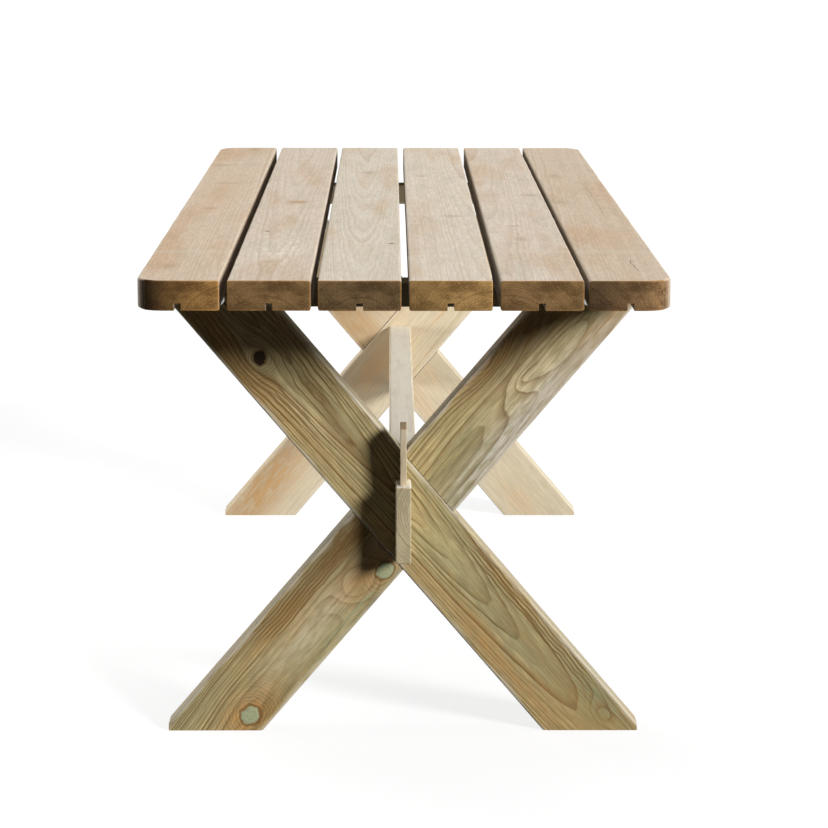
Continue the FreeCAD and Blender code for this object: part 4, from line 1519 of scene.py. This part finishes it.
def weave_bolt(weaver, given):
    """A carriage bolt: domed head over the face, shank in the wood, thread at the tail."""

    def dome(share):
        angle = share * DOME_ANGLE
        return weaver.math("SINE", angle), weaver.math("COSINE", angle)

    head = turned(weaver, given["Head Height"], given["Head"] * 0.5, 12, dome)
    core = given["Diameter"] * 0.44
    shank = raised(weaver, column(weaver, core, given["Length"]), given["Length"] * -0.5)
    named = {
        "Resolution": 20, "Rotations": given["Thread"] / given["Pitch"], "Start Radius": core,
        "End Radius": core, "Height": given["Thread"],
    }
    spiral = weaver.make("GeometryNodeCurveSpiral", named=named)
    depth = given["Diameter"] * 0.5 - core
    thread = swept(weaver, spiral, circle(weaver, depth, 6), **{"Fill Caps": True})
    return joined(weaver, head, shank, raised(weaver, thread, -(given["Length"] - depth)))


WASHER_SIZES = ("Diameter", "Bore", "Height")


def weave_washer(weaver, given):
    """A flat washer with eased edges."""
    height = given["Height"]
    wall = (given["Diameter"] - given["Bore"]) * 0.5
    ring = circle(weaver, (given["Diameter"] + given["Bore"]) * 0.25, 48)
    section = weaver.make("GeometryNodeCurvePrimitiveQuadrilateral", wall, height)
    named = {"Curve": section, "Count": 2, "Radius": height * 0.18}
    section = weaver.make("GeometryNodeFilletCurve", named=named, mode="POLY")
    return raised(weaver, swept(weaver, ring, section), height * 0.5)


NUT_SIZES = ("Width", "Bore", "Height")


def weave_nut(weaver, given):
    """A hexagon nut with chamfered corners and a bore."""
    height, half = given["Height"], given["Width"] * 0.5

    def drum(share):
        away = weaver.math("ABSOLUTE", share * 2.0 - 1.0)
        return share - 0.5, weaver.ramp(away, 0.62, 1.0, 1.16, 0.93)

    hexagon = column(weaver, half / math.cos(math.radians(30)), height, 6)
    chamfer = turned(weaver, height * 1.002, half, 13, drum)
    nut = weaver.node("GeometryNodeMeshBoolean", operation="INTERSECT", solver="EXACT")
    for part in (hexagon, chamfer):
        weaver.fill(nut.inputs["Mesh 2"], part)
    bore = column(weaver, given["Bore"] * 0.5, height * 2.0)
    return raised(weaver, bored(weaver, Signal(weaver, nut.outputs[0]), bore), height * 0.5)


SCREW_SIZES = ("Head", "Diameter", "Length")
MERGE_DISTANCE = 0.00001


def weave_screw(weaver, given):
    """A countersunk wood screw with a star recess: its flat head faces +Z."""
    radius, shank_radius = given["Head"] * 0.5, given["Diameter"] * 0.5
    depth = radius - shank_radius
    named = {"Vertices": ROUND, "Radius Top": radius, "Radius Bottom": shank_radius, "Depth": depth}
    cone = raised(weaver, weaver.make("GeometryNodeMeshCone", named=named, output="Mesh"), -depth)
    named = {"Points": 6, "Inner Radius": radius * 0.38, "Outer Radius": radius * 0.56}
    outline = weaver.make("GeometryNodeCurveStar", named=named)
    star = weaver.make("GeometryNodeFillCurve", outline, mode="NGONS")
    walls = weaver.make("GeometryNodeExtrudeMesh", named={"Mesh": star, "Offset Scale": radius * 0.7})
    recess = joined(weaver, walls, weaver.make("GeometryNodeFlipFaces", star))
    named = {"Geometry": recess, "Distance": MERGE_DISTANCE}
    recess = raised(weaver, weaver.make("GeometryNodeMergeByDistance", named=named), radius * -0.36)

    def spike(share):
        return share - 1.0, weaver.ramp(share, 0.0, 0.1, 0.15, 0.98)

    shank = raised(weaver, turned(weaver, given["Length"], shank_radius, 20, spike), depth * -0.9)
    return joined(weaver, bored(weaver, cone, recess), shank)


BOLT_RUST = 0.15
SCREW_RUST = 0.35
# Shares of the solid screw's head, shank and length that keep the dressed one inside it.
HEAD_SHARE, SHANK_SHARE, LENGTH_SHARE = 0.98, 0.9, 0.93


class SAWBUCK_OT_bolts(bpy.types.Operator):
    """Sets the carriage bolts, washers and nuts that join the legs to the bearers"""

    bl_idname = "sawbuck.bolts"
    bl_label = "Bolts, washers and nuts"

    def execute(self, context):
        fixings = context.scene.sawbuck_fixings
        zinc = zinc_material("dull zinc", BOLT_RUST)
        bolt = fixing_tree("carriage bolts", BOLT_SIZES, weave_bolt)
        washer = fixing_tree("washers", WASHER_SIZES, weave_washer)
        nut = fixing_tree("nuts", NUT_SIZES, weave_nut)
        for end, side in ENDS.items():
            node = f"{end}_leg_bolts"
            low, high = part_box(node)
            across, level = high.x - fixings.bolt_head / 2, (low.z + high.z) / 2
            outward, inward = (Euler((math.radians(angle) * side, 0, 0)) for angle in (-90, 90))
            tail, crown = reach_along(node)
            face = crown - fixings.head_height
            self.set_out(
                node, bolt, across, side * face, level, turn=outward, material=zinc,
                head=fixings.bolt_head, head_height=fixings.head_height, diameter=fixings.bolt_diameter,
                length=face - tail, thread=fixings.thread_length, pitch=fixings.thread_pitch,
            )
            washer_sizes = {"diameter": fixings.washer_diameter, "bore": fixings.washer_bore}
            nut_sizes = {"width": fixings.nut_width, "bore": fixings.bolt_diameter}
            for node, tree, sizes in (
                (f"{end}_bolt_washers", washer, washer_sizes),
                (f"{end}_bolt_nuts", nut, nut_sizes),
            ):
                inner, seat = reach_along(node)
                sizes["height"] = seat - inner
                self.set_out(node, tree, across, side * seat, level, turn=inward, material=zinc, **sizes)
        return {"FINISHED"}

    def set_out(self, node, tree, across, along, level, **values):
        """Makes the two fixings of a node, one at each side of the table."""
        places = places_mesh([(-across, along, level), (across, along, level)])
        finished(node, from_tree(tree, places, **values), values["material"], "table")


class SAWBUCK_OT_screws(bpy.types.Operator):
    """Sets the countersunk screws that hold the boards from below"""

    bl_idname = "sawbuck.screws"
    bl_label = "Screws"

    def execute(self, context):
        fixings = context.scene.sawbuck_fixings
        steel = zinc_material("screw zinc", SCREW_RUST)
        tree = fixing_tree("wood screws", SCREW_SIZES, weave_screw)
        for end in ENDS:
            node = f"{end}_board_screws"
            low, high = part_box(node)
            places = places_mesh([(across, (low.y + high.y) / 2, low.z) for across in screw_lines(fixings)])
            mesh = from_tree(
                tree, places, head=fixings.screw_head * HEAD_SHARE,
                diameter=fixings.screw_diameter * SHANK_SHARE, length=(high.z - low.z) * LENGTH_SHARE,
                turn=Euler((math.pi, 0, 0)), material=steel,
            )
            finished(node, mesh, steel, "table")
        return {"FINISHED"}


def seen_rays(weaver):
    """1 for the rays that show a backdrop: straight from the camera, mirrored or through glass."""
    path = weaver.signals(weaver.node("ShaderNodeLightPath"))
    other = weaver.math("MAXIMUM", path["Is Glossy Ray"], path["Is Transmission Ray"])
    return weaver.math("MAXIMUM", path["Is Camera Ray"], other)


WHITE = (1.0, 1.0, 1.0, 1.0)
SKY_FROM = (-0.15, 0.25, 1.0)
BACK_FROM = (-1.0, 1.1, 0.20)
# How wide each sun looks, in degrees: the wider, the softer its shadows.
KEY_ANGLE, SKY_ANGLE, BACK_ANGLE = 14, 50, 20
# The side lamps: distance from the middle, place along and height, size, spread in degrees and aim.
LAMP_AWAY, LAMP_ALONG, LAMP_HEIGHT = 2.3, -0.15, 0.46
LAMP_SIZE = (1.2, 0.6)
LAMP_SPREAD = 80
LAMP_AIM = Vector((0, 0.7, 0.42))
SENSOR_WIDTH = 36.0
FARTHEST_SEEN = 500.0


class SAWBUCK_OT_stage(bpy.types.Operator):
    """Sets the floor, the room, the lamps and the camera"""

    bl_idname = "sawbuck.stage"
    bl_label = "Floor, light and camera"

    def execute(self, context):
        stage = context.scene.sawbuck_stage
        context.scene.view_settings.view_transform = "Standard"
        self.floor(stage)
        self.room(context.scene, stage)
        self.sun("key_light", stage.key_from, stage.key_strength, KEY_ANGLE)
        self.sun("overhead_light", SKY_FROM, stage.sky_strength, SKY_ANGLE)
        self.sun("back_light", BACK_FROM, stage.back_strength, BACK_ANGLE)
        self.side_lamp("right_lamp", LAMP_AWAY, stage.right_power)
        self.side_lamp("left_lamp", -LAMP_AWAY, stage.left_power)
        self.camera(context.scene, stage)
        return {"FINISHED"}

    def floor(self, stage):
        half = stage.floor_size / 2
        mesh = bpy.data.meshes.new("floor")
        corners = ((-half, -half), (half, -half), (half, half), (-half, half))
        mesh.from_pydata([(x, y, FLOOR_LEVEL) for x, y in corners], [], [(0, 1, 2, 3)])
        floor = link_object("floor", mesh)
        material = bpy.data.materials.new("pale floor")
        material.use_nodes = True
        material.node_tree.nodes.clear()
        weaver = Weaver(material.node_tree)
        spot = weaver.make("ShaderNodeTexCoord", output="Object")
        cloudy = weaver.ramp(weaver.noise(spot, scale=0.7, detail=3.0), 0.3, 0.7, 0.0, 0.06)
        colour = weaver.blend(cloudy, stage.floor, tinted(stage.floor, (0.9, 0.9, 0.9)))
        seen = seen_rays(weaver)
        matt = weaver.make("ShaderNodeBsdfDiffuse", weaver.blend(seen, [stage.floor_bounce] * 3, colour))
        glow = weaver.make("ShaderNodeEmission", WHITE, seen * stage.floor_glow)
        weaver.node("ShaderNodeOutputMaterial", weaver.make("ShaderNodeAddShader", matt, glow))
        mesh.materials.append(material)

    def room(self, scene, stage):
        world = bpy.data.worlds.new("room")
        world.use_nodes = True
        world.node_tree.nodes.clear()
        weaver = Weaver(world.node_tree)
        named = {"Factor": seen_rays(weaver), "A": stage.room, "B": 1.0}
        strength = weaver.make("ShaderNodeMix", named=named)
        weaver.node("ShaderNodeOutputWorld", weaver.make("ShaderNodeBackground", WHITE, strength))
        scene.world = world

    def sun(self, name, source, strength, angle):
        data = bpy.data.lights.new(name, "SUN")
        data.energy = strength
        data.angle = math.radians(angle)
        lamp = link_object(name, data)
        lamp.rotation_euler = (-Vector(source)).to_track_quat("-Z", "Y").to_euler()

    def side_lamp(self, name, across, power):
        data = bpy.data.lights.new(name, "AREA")
        data.energy = power
        data.shape = "RECTANGLE"
        data.size, data.size_y = LAMP_SIZE
        data.spread = math.radians(LAMP_SPREAD)
        lamp = link_object(name, data)
        source = Vector((across, LAMP_ALONG, LAMP_HEIGHT))
        lamp.location = source
        lamp.rotation_euler = (LAMP_AIM - source).to_track_quat("-Z", "Y").to_euler()

    def camera(self, scene, stage):
        data = bpy.data.cameras.new("camera")
        data.lens = stage.focal_length
        data.sensor_width = SENSOR_WIDTH
        data.clip_end = FARTHEST_SEEN
        camera = link_object("camera", data)
        tilt, roll, turn = stage.aim
        pose = Matrix.Rotation(turn, 3, "Z") @ Matrix.Rotation(tilt, 3, "X") @ Matrix.Rotation(roll, 3, "Z")
        camera.location = stage.eye
        camera.rotation_euler = pose.to_euler()
        scene.camera = camera


STEPS = (
    SAWBUCK_OT_boards, SAWBUCK_OT_legs, SAWBUCK_OT_bearers, SAWBUCK_OT_stretcher, SAWBUCK_OT_wedges,
    SAWBUCK_OT_bolts, SAWBUCK_OT_screws, SAWBUCK_OT_stage,
)


class SAWBUCK_PT_table(bpy.types.Panel):
    """Lists the table's sizes, finishes and making steps"""

    bl_idname = "SAWBUCK_PT_table"
    bl_label = "Sawbuck table"
    bl_space_type = "VIEW_3D"
    bl_region_type = "UI"
    bl_category = "Table"

    def draw(self, context):
        for step in STEPS:
            self.layout.operator(step.bl_idname)
        for pointer, group in SETTINGS.items():
            box = self.layout.box()
            settings = getattr(context.scene, pointer)
            for name in group.__annotations__:
                box.prop(settings, name)


CLASSES = (*SETTINGS.values(), *STEPS, SAWBUCK_PT_table)


def register():
    for item in CLASSES:
        bpy.utils.register_class(item)
    for pointer, group in SETTINGS.items():
        setattr(bpy.types.Scene, pointer, bpy.props.PointerProperty(type=group))


def unregister():
    for pointer in SETTINGS:
        delattr(bpy.types.Scene, pointer)
    for item in reversed(CLASSES):
        bpy.utils.unregister_class(item)


def main():
    register()
    for step in STEPS:
        group, name = step.bl_idname.split(".")
        getattr(getattr(bpy.ops, group), name)()


if __name__ == "__main__":
    main()
